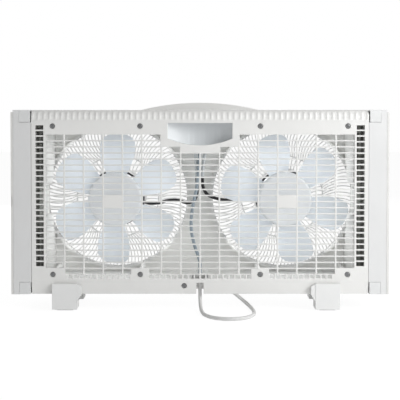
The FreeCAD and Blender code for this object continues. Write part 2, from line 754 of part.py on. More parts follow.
def make_motor(side, sign):
    """A closed can on the grille's back: two bells, a stator, two bushes and the rotor."""
    rear, x = "motor_rear_y", fan_x(sign)
    bolt_hole = "bolt_radius + 0.2"
    boss_y = f"{rear} + bush_length"
    can = turned(f"motor_can_{side}", [
        ("bush_radius + press_gap", rear),
        ("motor_radius", rear),
        ("motor_radius", MOTOR_FRONT),
        ("motor_radius - motor_wall", MOTOR_FRONT),
        ("motor_radius - motor_wall", f"{rear} + motor_wall"),
        ("bush_radius + 3", f"{rear} + motor_wall"),
        ("bush_radius + 3", boss_y),
        ("bush_radius + press_gap", boss_y),
    ], x, FAN_Z)
    can_holes = bolt_rods(f"can_hole_{side}", sign, bolt_hole, (f"{rear} - 1", f"{rear} + 4"))
    keep(f"motor_housing_{side}", minus(f"motor_housing_{side}", can, can_holes))
    boss_front = f"{MOTOR_FRONT} - bush_length + motor_cover_thick - 0.5"
    cover = turned(f"motor_lid_{side}", [
        ("0", COVER_FRONT),
        ("motor_radius", COVER_FRONT),
        ("motor_radius", MOTOR_FRONT),
        ("bush_radius + 3", MOTOR_FRONT),
        ("bush_radius + 3", boss_front),
        ("bush_radius + press_gap", boss_front),
        ("bush_radius + press_gap", f"{COVER_FRONT} - 0.5"),
        ("0", f"{COVER_FRONT} - 0.5"),
    ], x, FAN_Z)
    cover_hole_y = (f"{MOTOR_FRONT} - 1", f"{COVER_FRONT} + 1")
    cover_holes = bolt_rods(f"cover_hole_{side}", sign, bolt_hole, cover_hole_y)
    keep(f"motor_cover_{side}", minus(f"motor_cover_{side}", cover, cover_holes))
    stator_y = (f"{rear} + motor_wall + 2", f"{MOTOR_FRONT} - 2")
    stator_ring = rod(f"stator_ring_{side}", "motor_radius - motor_wall - fit_gap", stator_y, x, FAN_Z)
    stator_bore = rod(f"stator_bore_{side}", "core_radius + 0.4", (f"{rear}", MOTOR_FRONT), x, FAN_Z)
    stator_holes = bolt_rods(f"stator_hole_{side}", sign, bolt_hole, (rear, MOTOR_FRONT))
    keep(f"stator_{side}", minus(f"stator_{side}", stator_ring, [stator_bore] + stator_holes))
    bushes = (("rear", (rear, boss_y)), ("front", (boss_front, f"{boss_front} + bush_length - 0.5")))
    for end, y in bushes:
        sleeve = rod(f"bush_sleeve_{side}_{end}", "bush_radius", y, x, FAN_Z)
        bore_y = (f"{y[0]} - 1", f"{y[1]} + 1")
        bore = rod(f"bush_bore_{side}_{end}", "shaft_radius + run_gap", bore_y, x, FAN_Z)
        keep(f"bush_{end}_{side}", minus(f"bush_{end}_{side}", sleeve, [bore]))
    core_low = f"(({boss_y} + {boss_front}) / 2 - core_depth / 2)"
    shaft_front = f"{COVER_FRONT} - 1"
    rotor = turned(f"rotor_{side}", [
        ("0", "shaft_rear_y"),
        ("shaft_radius", "shaft_rear_y"),
        ("shaft_radius", core_low),
        ("core_radius", core_low),
        ("core_radius", f"{core_low} + core_depth"),
        ("shaft_radius", f"{core_low} + core_depth"),
        ("shaft_radius", shaft_front),
        ("0", shaft_front),
    ], x, FAN_Z)
    keep(f"rotor_{side}", rotor)
    heads = bolt_rods(f"bolt_head_{side}", sign, "bolt_head", (f"{rear} - bolt_head_thick", rear))
    shanks = bolt_rods(f"bolt_shank_{side}", sign, "bolt_radius", (f"{rear} - 1", f"{COVER_FRONT} + 5.5"))
    bolts = []
    for k, (head, shank) in enumerate(zip(heads, shanks)):
        bolts.append(union(f"motor_bolt_{side}_{k}", [head, shank]))
    keep(f"motor_bolts_{side}", group(f"motor_bolts_{side}", bolts))


# ---------------------------------------------------------------- impellers
def blade_solid():
    """One broad petal, pitched across its width, as a bent sheet with thickness along Y."""
    steps = 10
    half = math.radians(size("blade_half_deg"))
    slope = math.tan(math.radians(size("blade_pitch_deg")))
    root = size("hub_radius") - size("hub_wall") / 2
    grid = []
    for i in range(steps + 1):
        along = i / steps
        row = []
        for j in range(steps + 1):
            across = 2 * j / steps - 1
            reach = math.sqrt(max(0.0, 1 - abs(across) ** 2.6))
            tip = size("blade_tip") - size("blade_crown") * (1 - reach)
            radius = root + (tip - root) * along
            narrowing = 1 - 0.2 * along ** 4
            angle = across * half * narrowing
            height = size("blade_middle_y") - radius * math.sin(angle) * slope
            point = polar(radius, angle)
            row.append(V(point.x, height - size("blade_thick") / 2, point.z))
        grid.append(row)
    surface = Part.BSplineSurface()
    surface.interpolate(grid)
    return surface.toShape().extrude(INWARD * size("blade_thick"))


def make_impeller(side, sign, start_deg):
    """A cupped hub with six petals, and the nut that holds it on the shaft."""
    rear, x = "hub_rear_y", fan_x(sign)
    radius, wall, depth = size("hub_radius"), size("hub_wall"), size("hub_depth")
    rear_y = size("hub_rear_y")
    cup = Part.makeCylinder(radius, depth, V(0, rear_y, 0), INWARD)
    rim = [edge for edge in cup.Edges if abs(edge.CenterOfMass.y - rear_y) < 0.01 and edge.Closed]
    cup = cup.makeFillet(5, rim)
    hollow = Part.makeCylinder(radius - wall, depth, V(0, rear_y + wall, 0), INWARD)
    inner_rim = [edge for edge in hollow.Edges if abs(edge.CenterOfMass.y - rear_y - wall) < 0.01]
    hollow = hollow.makeFillet(3, inner_rim)
    boss = Part.makeCylinder(size("hub_boss"), depth - 4, V(0, rear_y + wall / 2, 0), INWARD)
    bore = Part.makeCylinder(size("shaft_radius") + size("press_gap"), depth + 2, V(0, rear_y - 1, 0), INWARD)
    blade = blade_solid()
    blades = []
    for k in range(6):
        petal = blade.copy()
        petal.rotate(V(), INWARD, -(start_deg + 60 * k))
        blades.append(petal)
    shape = cup.cut(hollow).multiFuse([boss] + blades).cut(bore)
    impeller = made(f"impeller_{side}", shape)
    impeller.Placement.Base = V(sign * size("orifice_spacing") / 2, 0, size("foot_lift") + size("fan_rise"))
    keep(f"impeller_{side}", impeller)
    nut = turned(f"hub_nut_{side}", [
        ("shaft_radius + press_gap", rear),
        ("hub_boss", rear),
        ("hub_boss - 0.5", f"{rear} - 6"),
        ("shaft_radius + press_gap", f"{rear} - 6"),
    ], x, FAN_Z)
    keep(f"hub_nut_{side}", nut)


# ---------------------------------------------------------------- controls
BUTTONS = (("power", -1.5), ("mode", -0.5), ("down", 0.5), ("up", 1.5))
BUTTON_Z = f"({PANEL_LOW} + 10)"
DISPLAY_Z = f"({PANEL_TOP} - 14)"
BOARD_Y = f"({FRONT} - board_set_back)"
BOARD_SCREWS = [(i, j) for i in (-1, 1) for j in (-1, 1)]


def make_controls():
    panel_y = (f"{FRONT} - 4", f"{FRONT} + 1")
    plate = box("panel_plate", ("-panel_width / 2", "panel_width / 2"), panel_y, (PANEL_LOW, PANEL_TOP))
    flange = box(
        "panel_flange_plate",
        ("-panel_width / 2 - panel_flange", "panel_width / 2 + panel_flange"),
        (FRONT, f"{FRONT} + 1.6"),
        (f"{PANEL_LOW} - panel_flange", f"{PANEL_TOP} + panel_flange"),
    )
    legs = []
    leg_pilots = []
    board_screws = []
    board_top = f"({BOARD_Y} + board_thick)"
    for i, j in BOARD_SCREWS:
        x = f"({i}) * (panel_width / 2 - leg_inset_x)"
        z = f"({PANEL_LOW} + {PANEL_TOP}) / 2 + ({j}) * (panel_height / 2 - leg_inset_z)"
        legs.append(rod(f"panel_leg_{i}_{j}", "2.6", (board_top, f"{FRONT} - 3"), x, z))
        pilot_y = (f"{board_top} - 1", f"{board_top} + 6")
        leg_pilots.append(rod(f"leg_pilot_{i}_{j}", "1 + press_gap", pilot_y, x, z))
        head = rod(f"board_head_{i}_{j}", "2.2", (f"{BOARD_Y} - 1.4", BOARD_Y), x, z)
        shank = rod(f"board_shank_{i}_{j}", "1", (f"{BOARD_Y} - 1", f"{board_top} + 5"), x, z)
        board_screws.append(union(f"board_screw_{i}_{j}", [head, shank]))
    keep("board_screws", group("board_screws", board_screws))
    holes = leg_pilots
    for name, step in BUTTONS:
        hole_y = (f"{FRONT} - 5", f"{FRONT} + 3")
        hole_x = f"({step}) * button_pitch"
        holes.append(rod(f"button_hole_{name}", "button_radius + 0.1", hole_y, hole_x, BUTTON_Z))
    holes.append(box(
        "display_hole",
        ("-display_width / 2 - hole_slack", "display_width / 2 + hole_slack"),
        (f"{FRONT} - 5", f"{FRONT} + 3"),
        (f"{DISPLAY_Z} - display_height / 2 - hole_slack", f"{DISPLAY_Z} + display_height / 2 + hole_slack"),
    ))
    keep("control_bezel", minus("control_bezel", union("bezel_solid", [plate, flange] + legs), holes))
    keep("display_window", box(
        "display_window",
        ("-display_width / 2", "display_width / 2"),
        (f"{FRONT} - 3", f"{FRONT} + 1"),
        (f"{DISPLAY_Z} - display_height / 2", f"{DISPLAY_Z} + display_height / 2"),
    ))
    board = box(
        "board_plate",
        ("-panel_width / 2 + board_margin", "panel_width / 2 - board_margin"),
        (BOARD_Y, board_top),
        (f"{PANEL_LOW} + 1", f"{PANEL_TOP} - 1"),
    )
    relay = box(
        "board_relay",
        ("relay_low_x", "relay_high_x"),
        (f"{BOARD_Y} - relay_height", f"{BOARD_Y} + 0.5"),
        (f"{DISPLAY_Z} - 8", f"{DISPLAY_Z} + 6"),
    )
    digits_z = (f"{DISPLAY_Z} - display_height / 2 + 1", f"{DISPLAY_Z} + display_height / 2 - 1")
    digits = box("board_digits", ("-digits_half", "digits_half"), (BOARD_Y, f"{FRONT} - 4"), digits_z)
    switches = []
    for name, step in BUTTONS:
        x = f"({step}) * button_pitch"
        body_x = (f"{x} - switch_size / 2", f"{x} + switch_size / 2")
        body_y = (f"{BOARD_Y} + 0.5", f"{board_top} + switch_height")
        z = (f"{BUTTON_Z} - switch_size / 2", f"{BUTTON_Z} + switch_size / 2")
        switches.append(box(f"tact_switch_{name}", body_x, body_y, z))
    screw_gaps = []
    for i, j in BOARD_SCREWS:
        x = f"({i}) * (panel_width / 2 - leg_inset_x)"
        z = f"({PANEL_LOW} + {PANEL_TOP}) / 2 + ({j}) * (panel_height / 2 - leg_inset_z)"
        screw_gaps.append(rod(f"board_gap_{i}_{j}", "1.2", (f"{BOARD_Y} - 1", f"{board_top} + 1"), x, z))
    connector_y = (f"{BOARD_Y} - 7", f"{BOARD_Y} + 0.5")
    connector_x = ("-connector_half", "connector_half")
    connector = box("board_connector", connector_x, connector_y, (f"{PANEL_LOW} + 8", f"{PANEL_LOW} + 15"))
    board_solid = union("board_solid", [board, relay, digits, connector] + switches)
    keep("control_board", minus("control_board", board_solid, screw_gaps))
    stem_low = f"({board_top} + switch_height + button_travel + 0.2)"
    for name, step in BUTTONS:
        button = turned(f"button_{name}", [
            ("0", stem_low),
            ("button_radius + 1.2", stem_low),
            ("button_radius + 1.2", f"{FRONT} - 4.3"),
            ("button_radius", f"{FRONT} - 4.3"),
            ("button_radius", f"{FRONT} + 3.4"),
            ("button_radius - 0.6", f"{FRONT} + 4"),
            ("0", f"{FRONT} + 4"),
        ], f"({step}) * button_pitch", BUTTON_Z)
        keep(f"button_{name}", button)


# ---------------------------------------------------------------- extenders
def make_extender(side, sign):
    """An end cap on two rails, with a corner clip on each rail's end."""
    full_y = (REAR, FRONT)
    cap = box(f"cap_block_{side}", side_span(sign, CAP_IN, CAP_OUT), full_y, (BOTTOM, TOP))
    clip_x = side_span(sign, f"{CAP_IN} - 1", f"{CAP_IN} + clip_width")
    hollow_x = side_span(sign, f"{CAP_IN} - 1", f"{CAP_OUT} - wall_thick")
    hollow_y = (f"{REAR} + wall_thick", f"{FRONT} - wall_thick")
    hollow_z = (f"{BOTTOM} + clip_height + wall_thick", f"{TOP} - clip_height - wall_thick")
    outside_y = (f"{REAR} - 1", f"{FRONT} + 1")
    cutters = [
        box(f"cap_top_notch_{side}", clip_x, outside_y, (f"{TOP} - clip_height", f"{TOP} + 1")),
        box(f"cap_low_notch_{side}", clip_x, outside_y, (f"{BOTTOM} - 1", f"{BOTTOM} + clip_height")),
        box(f"cap_hollow_{side}", hollow_x, hollow_y, hollow_z),
    ]
    scallop_y = (f"{REAR} - 1", f"{REAR} + scallop_depth")
    scallop_x = f"({sign}) * ({CAP_OUT} - scallop_reach + scallop_radius)"
    scallop = rod(f"cap_scallop_{side}", "scallop_radius", scallop_y, scallop_x, FAN_Z)
    strip_x = side_span(sign, f"{CAP_OUT} - strip_width", f"{CAP_OUT} + 1")
    strip_top = box(f"cap_strip_top_{side}", strip_x, outside_y, (f"{TOP} - strip_drop", f"{TOP} + 1"))
    groove_x = side_span(sign, f"{CAP_OUT} - strip_width - strip_groove", f"{CAP_OUT} - strip_width")
    groove_y = (f"{REAR} - 1", f"{REAR} + strip_groove")
    groove_z = (f"{BOTTOM} - 1", f"{TOP} - strip_drop + 1")
    strip_line = box(f"cap_strip_line_{side}", groove_x, groove_y, groove_z)
    cutters.append(union(f"cap_strip_{side}", [scallop, strip_top, strip_line]))
    keep(f"end_cap_{side}", minus(f"end_cap_{side}", cap, cutters))
    rail_x = side_span(sign, "rail_inner_x", f"{CAP_IN} + rail_reach")
    rail_y = ("-rail_depth / 2", "rail_depth / 2")
    groove_y = ("-rail_depth / 2 + rail_wall", "rail_depth / 2 - rail_wall")
    groove_x = side_span(sign, "rail_inner_x - 1", f"{CAP_IN} - 6")
    heights = (
        ("top", TOP_RAIL, (f"{TOP} - clip_height + cap_gap", TOP)),
        ("bottom", LOW_RAIL, (BOTTOM, f"{BOTTOM} + clip_height - cap_gap")),
    )
    for height, (low, high), clip_z in heights:
        tag = f"{height}_{side}"
        bar = box(f"rail_bar_{tag}", rail_x, rail_y, (low, high))
        groove = box(f"rail_groove_{tag}", groove_x, groove_y, (f"{low} - 1", f"{high} - rail_wall"))
        keep(f"rail_{tag}", minus(f"rail_{tag}", bar, [groove]))
        clip_body_x = side_span(sign, f"{CAP_IN} + clip_gap", f"{CAP_IN} + clip_width")
        clip = box(f"clip_block_{tag}", clip_body_x, full_y, clip_z)
        slack = "press_gap"
        socket_x = side_span(sign, f"{CAP_IN} - 1", f"{CAP_IN} + rail_reach + {slack}")
        socket_y = (f"-rail_depth / 2 - {slack}", f"rail_depth / 2 + {slack}")
        socket = box(f"clip_socket_{tag}", socket_x, socket_y, (f"{low} - {slack}", f"{high} + {slack}"))
        pockets = []
        pocket_x = side_span(sign, f"{CAP_IN} - 1", f"{CAP_IN} + clip_width - wall_thick")
        pocket_z = (f"{clip_z[0]} + wall_thick", f"{clip_z[1]} - wall_thick")
        for edge, flip in (("rear", -1), ("front", 1)):
            pocket_y = side_span(flip, "rail_depth / 2 + 4", f"{FRONT} - wall_thick")
            pockets.append(box(f"clip_pocket_{tag}_{edge}", pocket_x, pocket_y, pocket_z))
        keep(f"corner_clip_{tag}", minus(f"corner_clip_{tag}", clip, [socket] + pockets))


def make_accordion(side, sign):
    """The folded side curtain: one pleated sheet standing in the end cap."""
    step, half, thick = size("fold_step"), size("fold_depth") / 2, size("fold_thick")
    start = size("overall_width") / 2 - size("cap_width") - size("fold_inset")
    folds = int(size("fold_pairs")) * 2
    merge = thick * half / step
    end = start + folds * step
    rear_side = [V(start + thick, -half, 0)]
    front_side = [V(start, -half, 0)]
    for k in range(1, folds):
        x = start + k * step
        if k % 2:
            front_side += [V(x, half, 0), V(x + thick, half, 0)]
            rear_side.append(V(x + thick / 2, half - merge, 0))
        else:
            front_side.append(V(x + thick / 2, merge - half, 0))
            rear_side += [V(x, -half, 0), V(x + thick, -half, 0)]
    front_side.append(V(end + thick, -half, 0))
    rear_side.append(V(end, -half, 0))
    outline = [V(sign * p.x, p.y, 0) for p in front_side + rear_side[::-1]]
    face = Part.Face(Part.makePolygon(outline + outline[:1]))
    low = size("foot_lift") + size("clip_height") + size("wall_thick") + 1.5
    high = size("foot_lift") + size("housing_height") - size("clip_height") - size("wall_thick") - 1.5
    curtain = made(f"accordion_{side}", face.extrude(UP * (high - low)))
    curtain.Placement.Base = V(0, size("fold_middle_y"), low)
    keep(f"accordion_{side}", curtain)


# ---------------------------------------------------------------- screws
def make_screws():
    screws = []
    spots = [(x, z, f"({REAR} + screw_head_thick)") for x, z in screw_places()]
    spots.append((*SKIRT_SCREW, SKIRT_SCREW_REAR))
    for number, (x, z, seat_y) in enumerate(spots):
        length = "screw_length" if number < len(spots) - 1 else "(screw_length - 4)"
        head = rod(f"screw_head_{number}", "screw_head", (f"{seat_y} - screw_head_thick + 0.6", seat_y), x, z)
        shank = rod(f"screw_shank_{number}", "screw_shank", (f"{seat_y} - 1", f"{seat_y} + {length}"), x, z)
        screws.append(union(f"cover_screw_{number}", [head, shank]))
    keep("cover_screws", group("cover_screws", screws))


# ---------------------------------------------------------------- feet
def make_foot(side, sign):
    """A clip-on foot: two legs under a bridge below the housing's lips, with a wrap up each side."""
    x = f"foot_{side}_x"
    inner = "(housing_depth / 2 + fit_gap)"
    half = f"({inner} + foot_wall)"
    wrap_top = f"({BOTTOM} + foot_wrap)"
    base_top = f"({BOTTOM} - fit_gap)"
    arch = f"({half} - foot_leg)"
    body = padded(f"foot_base_{side}", "YZ_Plane", [
        (f"-{half}", "pad_thick"),
        (f"-{arch}", "pad_thick"),
        (f"-{arch}", "foot_arch"),
        (arch, "foot_arch"),
        (arch, "pad_thick"),
        (half, "pad_thick"),
        (half, wrap_top),
        (inner, wrap_top),
        (inner, base_top),
        (f"-{inner}", base_top),
        (f"-{inner}", wrap_top),
        (f"-{half}", wrap_top),
    ], "foot_width")
    place(body, x)
    root_x = f"{x} - ({sign}) * (foot_width / 2 - 1)"
    tab_x = f"{x} - ({sign}) * (foot_width / 2 + foot_tab)"
    pieces = [body]
    for end, flip in (("rear", -1), ("front", 1)):
        tab = padded(f"foot_tab_{side}_{end}", "XZ_Plane", [
            (root_x, "foot_arch"),
            (tab_x, BOTTOM),
            (tab_x, f"{wrap_top} - foot_round"),
            (root_x, f"{wrap_top} - 0.5"),
        ], "foot_wall - 0.5")
        place(tab, "0", f"({flip}) * ({inner} + foot_wall / 2 - 0.25)")
        pieces.append(tab)
    keep(f"foot_{side}", union(f"foot_{side}", pieces))
    pads = []
    for end, flip in (("rear", -1), ("front", 1)):
        pad_x = (f"{x} - foot_width / 2 + pad_inset", f"{x} + foot_width / 2 - pad_inset")
        pad_y = side_span(flip, f"{half} - foot_leg + pad_inset", f"{half} - pad_inset")
        pads.append(box(f"foot_pad_{side}_{end}", pad_x, pad_y, ("0", "pad_thick")))
    keep(f"foot_pads_{side}", group(f"foot_pads_{side}", pads))


# ---------------------------------------------------------------- cords and leads
def routed_tube(label, points, radius):
    """A tube along straight runs joined by arcs as large as the runs allow."""
    corners = [V(*point) for point in points]
    edges = []
    radii = []
    start = corners[0]
    for before, corner, after in zip(corners, corners[1:], corners[2:]):
        incoming, outgoing = corner - before, after - corner
        turn = incoming.getAngle(outgoing)
        cut = 0.45 * min(incoming.Length, outgoing.Length)
        bend = cut / math.tan(turn / 2)
        radii.append(round(bend, 1))
        arc_start = corner - V(incoming).normalize() * cut
        arc_end = corner + V(outgoing).normalize() * cut
        inside = V(outgoing).normalize() - V(incoming).normalize()
        middle = corner + inside.normalize() * bend * (1 / math.cos(turn / 2) - 1)
        edges.append(Part.LineSegment(start, arc_start).toShape())
        edges.append(Part.Arc(arc_start, middle, arc_end).toShape())
        start = arc_end
    edges.append(Part.LineSegment(start, corners[-1]).toShape())
    path = Part.Wire(edges)
    circle = Part.Wire(Part.makeCircle(radius, corners[0], corners[1] - corners[0]))
    tube = path.makePipeShell([circle], True, False)
    ratio = tube.Volume / (math.pi * radius ** 2 * path.Length)
    print(label, "radii", radii, "length", round(path.Length, 1), "volume ratio", round(ratio, 4))
    return made(label, tube)


POWER_CORD = [
    (0, -38, 33), (0, -39, 21), (0.5, -46, 10), (1.5, -59, 4), (3, -77, 3.1), (6, -98, 3.1), (18, -120, 3.1),
    (40, -131, 3.1), (65, -127, 3.1), (82, -109, 3.1), (87, -84, 3.1), (84, -50, 3.1), (76, -4, 3.1),
    (66, 48, 3.1), (55, 98, 3.1), (45, 134, 3.1), (39.8, 158, 3.1),
]
CORD_TAIL = [(-23.6, 176, 3.1), (-25, 158, 3.1), (-31, 141, 5), (-33, 126, 7)]
LEAD_LEFT = [
    (-95, 30, 168), (-84, 29.8, 165), (-70, 29.6, 166), (-54, 30, 171), (-38, 30.2, 171), (-24, 29, 166),
    (-11, 27, 168), (-5, 24, 180), (-5, 22, 198), (-6, 23, 222), (-7, 27, 244), (-9, 33, 263), (-9, 33, 282),
]
LEAD_RIGHT = [
    (95, 30, 178), (78, 29.8, 176), (60, 29.8, 172), (42, 30, 171), (26, 29, 174), (12, 27, 180),
    (5, 24, 192), (4, 22, 208), (5, 23, 228), (8, 28, 247), (10, 33, 264), (10, 33, 282),
]
MAINS_LEAD = [
    (0, 33, 282), (0, 33, 264), (-1, 25, 241), (-3, 12, 216), (-6, 2, 190), (-12, -6, 166), (-15, -14, 142),
    (-14, -20, 120), (-8, -28, 98), (0, -38, 79), (0, -38, 59),
]


def make_leads():
    lead = size("lead_radius")
    keep("motor_lead_left", routed_tube("motor_lead_left", LEAD_LEFT, lead))
    keep("motor_lead_right", routed_tube("motor_lead_right", LEAD_RIGHT, lead))
    keep("mains_lead", routed_tube("mains_lead", MAINS_LEAD, lead))


def make_cord():
    """The free cord, its coil and tie, and the plug, all lying on the surface."""
    radius = size("cord_radius")
    keep("power_cord", routed_tube("power_cord", POWER_CORD, radius))
    keep("cord_tail", routed_tube("cord_tail", CORD_TAIL, radius))
    outer_z, inner_z = ("0.1", "0.1 + coil_height"), ("-1", "coil_height + 2")
    outer = post("coil_outer", "coil_radius + coil_half_width", outer_z, "coil_x", "coil_y")
    inner = post("coil_inner", "coil_radius - coil_half_width", inner_z, "coil_x", "coil_y")
    keep("cord_coil", minus("cord_coil", outer, [inner]))
    tie_x = ("coil_x - 3", "coil_x + 3")
    inside_y = (
        "coil_y + coil_radius - coil_half_width - 0.1",
        "coil_y + coil_radius + coil_half_width + 0.1",
    )
    outside_y = (f"{inside_y[0]} - 0.9", f"{inside_y[1]} + 0.9")
    band = box("tie_band", tie_x, outside_y, ("0", "coil_height + 1.1"))
    gap = box("tie_gap", ("coil_x - 4", "coil_x + 4"), inside_y, ("0.7", "coil_height + 0.3"))
    keep("cord_tie", minus("cord_tie", band, [gap]))
    plug_x = f"({CORD_TAIL[-1][0]})"
    plug_y = (f"{CORD_TAIL[-1][1]} - plug_length", f"{CORD_TAIL[-1][1]}")
    body = box(
        "plug_block",
        (f"{plug_x} - plug_width / 2", f"{plug_x} + plug_width / 2"),
        plug_y,
        ("0", "plug_height"),
    )
    keep("plug_body", body)
    blades = []
    for name, flip in SIDES:
        middle = f"{plug_x} + ({flip}) * pin_spacing / 2"
        x = (f"{middle} - pin_thick / 2", f"{middle} + pin_thick / 2")
        y = (f"{plug_y[0]} - pin_length", plug_y[0])
        z = ("plug_height / 2 - pin_width / 2", "plug_height / 2 + pin_width / 2")
        blades.append(box(f"plug_blade_{name}", x, y, z))
    keep("plug_blades", group("plug_blades", blades))


def make_strain_relief():
    """A tapered sleeve through the floor, a clamp over the lead and the clamp's screws."""
    low = f"({FLOOR_LOW} + 14.5 - relief_length)"
    sleeve = doc.addObject("Part::Cone", "relief_cone")
    bind(sleeve, Radius1="cord_radius + 0.9", Radius2="relief_top_radius", Height="relief_length")
    place(sleeve, "0", "cord_exit_y", low)
    collar_z = (FLOOR_HIGH, f"{FLOOR_HIGH} + 2")
    collar = post("relief_collar", "relief_top_radius + 2", collar_z, "0", "cord_exit_y")
    keep("strain_relief", union("strain_relief", [sleeve, collar]))


def make_cord_clamp():
    """A bar across the two arms of the front shell, behind the relief, and its screws."""
    z = (f"{FLOOR_HIGH} + 2.2", f"{FLOOR_HIGH} + clamp_height")
    y = (f"{CLAMP_FRONT} - clamp_thick", CLAMP_FRONT)
    clamp = box("clamp_bar", ("-clamp_screw_x - 4", "clamp_screw_x + 4"), y, z)
    holes = []
    screws = []
    for side, sign in SIDES:
        x = f"({sign}) * clamp_screw_x"
        hole_y = (f"{y[0]} - 1", f"{y[1]} + 1")
        holes.append(rod(f"clamp_hole_{side}", "screw_shank + hole_slack", hole_y, x, CLAMP_SCREW_Z))
        head = rod(f"clamp_head_{side}", "2.6", (f"{y[0]} - 1.8", y[0]), x, CLAMP_SCREW_Z)
        shank = rod(f"clamp_shank_{side}", "screw_shank", (f"{y[0]} - 1", f"{y[1]} + 7"), x, CLAMP_SCREW_Z)
        screws.append(union(f"clamp_screw_{side}", [head, shank]))
    keep("cord_clamp", minus("cord_clamp", clamp, holes))
    keep("clamp_screws", group("clamp_screws", screws))


def build():
    make_rear_cover()
    make_grip_cup()
    make_front_shell()
    for side, sign in SIDES:
        make_front_grille(side, sign)
        make_motor(side, sign)
        make_impeller(side, sign, 27.5 if side == "left" else 42.5)
        make_extender(side, sign)
        make_accordion(side, sign)
        make_foot(side, sign)
    make_controls()
    make_screws()
    make_leads()
    make_strain_relief()
    make_cord_clamp()
    make_cord()


def check_and_write():
    doc.recompute()
    for item in doc.Objects:
        if "Invalid" in item.State or "Error" in item.State:
            raise RuntimeError(f"{item.Label} failed: {item.State}")
    os.makedirs("parts", exist_ok=True)
    for name, thing in nodes.items():
        if thing.Shape.isNull() or not thing.Shape.isValid():
            raise RuntimeError(f"{name} has no valid shape")
    for name, thing in nodes.items():
        thing.Shape.exportStep(f"parts/{name}.step")
    print(len(nodes), "sub-parts written")


build()
check_and_write()
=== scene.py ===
import json
import math

import bmesh
import bpy
from mathutils import Matrix, Vector


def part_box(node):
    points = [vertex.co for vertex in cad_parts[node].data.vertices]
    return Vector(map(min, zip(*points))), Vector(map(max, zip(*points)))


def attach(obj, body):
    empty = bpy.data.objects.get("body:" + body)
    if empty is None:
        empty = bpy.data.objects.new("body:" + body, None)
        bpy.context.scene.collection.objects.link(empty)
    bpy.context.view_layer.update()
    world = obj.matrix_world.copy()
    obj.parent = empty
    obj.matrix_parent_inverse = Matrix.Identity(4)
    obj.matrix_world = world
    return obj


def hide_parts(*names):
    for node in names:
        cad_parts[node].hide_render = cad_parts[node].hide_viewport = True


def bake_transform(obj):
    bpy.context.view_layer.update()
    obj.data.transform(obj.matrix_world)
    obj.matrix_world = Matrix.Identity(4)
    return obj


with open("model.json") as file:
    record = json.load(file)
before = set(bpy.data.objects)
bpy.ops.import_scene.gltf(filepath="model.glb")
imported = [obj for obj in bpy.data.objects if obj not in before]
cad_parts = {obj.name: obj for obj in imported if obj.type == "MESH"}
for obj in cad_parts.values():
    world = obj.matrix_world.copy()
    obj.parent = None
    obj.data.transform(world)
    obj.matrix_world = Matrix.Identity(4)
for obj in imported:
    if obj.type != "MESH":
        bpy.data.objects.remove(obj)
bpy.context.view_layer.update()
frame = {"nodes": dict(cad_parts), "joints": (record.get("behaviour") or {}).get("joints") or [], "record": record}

# A twin window fan on clip-on feet, seen from its rear grille. Lengths are in millimetres until
# piece() and the cord turn them into metres. The housing's own sizes come from the frame.
METRE = 1000.0


def node_box(node):
    """A CAD node's lowest and highest corners, in millimetres."""
    low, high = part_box(node)
    return low * METRE, high * METRE


COVER_LOW, COVER_HIGH = node_box("rear_cover")
HALF_WIDTH = COVER_HIGH.x
REAR = COVER_LOW.y
SPLIT = COVER_HIGH.y
BOTTOM = COVER_LOW.z
TOP = COVER_HIGH.z
FRONT = node_box("front_grille_left")[1].y
SIDES = {"left": -1, "right": 1}
FANS = {
    joint["child"].replace("fan_", ""): Vector(joint["pos_m"]) * METRE
    for joint in frame["joints"]
    if joint["child"].startswith("fan_")
}
FAN_Z = FANS["left"].z
FAN_START_DEG = {"left": 27.5, "right": 42.5}

# Rear cover
PLATE = 3.0
WALL = 2.5
SHOULDER = 12.0
SKIRT_TOP = BOTTOM + 21.0
SKIRT_SET_BACK = 2.5
FLOOR_LOW = BOTTOM + 18.5
COLUMN = (FANS["right"].x - FANS["left"].x) / 9
COLUMNS = 16
COLUMN_RIB = 2.6
BAR_PITCH = 9.84
BAR_HEIGHT = 2.3
BAR_INSET = 0.35
BAR_ROWS = (-11, 10)
SQUARE_PITCH = 9.31
SQUARE = (6.9, 6.4)
SQUARE_Z = BOTTOM + 28.5
SLOT = (12.8, 6.9)
SLOT_COUNT = 25
SLOT_PITCH = 9.2
SLOT_INNER_X = 252.4
SLOT_LOW_Z = BOTTOM + 45.5
NOTCH_WIDTH = 11.8
GRIP_WIDTH = 104.0
GRIP_TOP = TOP - 17.0
GRIP_LOW = GRIP_TOP - 40.0
GRIP_ARC = 128.0
FLUTE_PITCH = SQUARE_PITCH
FLUTE_DEPTH = 0.8
SCREW_XS = (97.0, 238.0)
SCREW_ZS = (298.0, 58.0)
SKIRT_SCREW = (-25.8, BOTTOM + 13.5)
SCREW_SEAT = 2.4
SKIRT_SCREW_SEAT = SKIRT_SET_BACK + 1
SCREW_HEAD = 4.1
SCREW_CROWN = 1.8
CROSS_REACH = 2.4
CROSS_HALF = 0.5
CROSS_DEEP = 0.9

# Impellers
HUB_RADIUS = 45.0
HUB_REAR_Y = -14.0
HUB_DEPTH = 24.0
BLADE_TIP = 108.5
BLADE_SHOULDER = 92.0
BLADE_THICK = 1.8
BLADE_HALF = math.radians(21.5)
BLADE_SLOPE = math.tan(math.radians(28))
BLADE_MIDDLE_Y = 3.0

# Cord
CORD_RADIUS = 2.9
CORD_ROUTE = [
    (0, -38, 33), (0, -39, 21), (0.5, -46, 10), (1.5, -59, 4), (3, -77, 3.1), (6, -98, 3.1), (18, -120, 3.1),
    (40, -131, 3.1), (65, -127, 3.1), (82, -109, 3.1), (87, -84, 3.1), (84, -50, 3.1), (76, -4, 3.1),
    (66, 48, 3.1), (55, 98, 3.1), (45, 134, 3.1),
]
COIL_CENTRE = (8.0, 168.0)
COIL_RING = 32.0
COLLAR_RADIUS = 6.5
CORD_END = [(-30.2, 152, 9), (-31.5, 138, 8.2), (-33, 124, 7)]


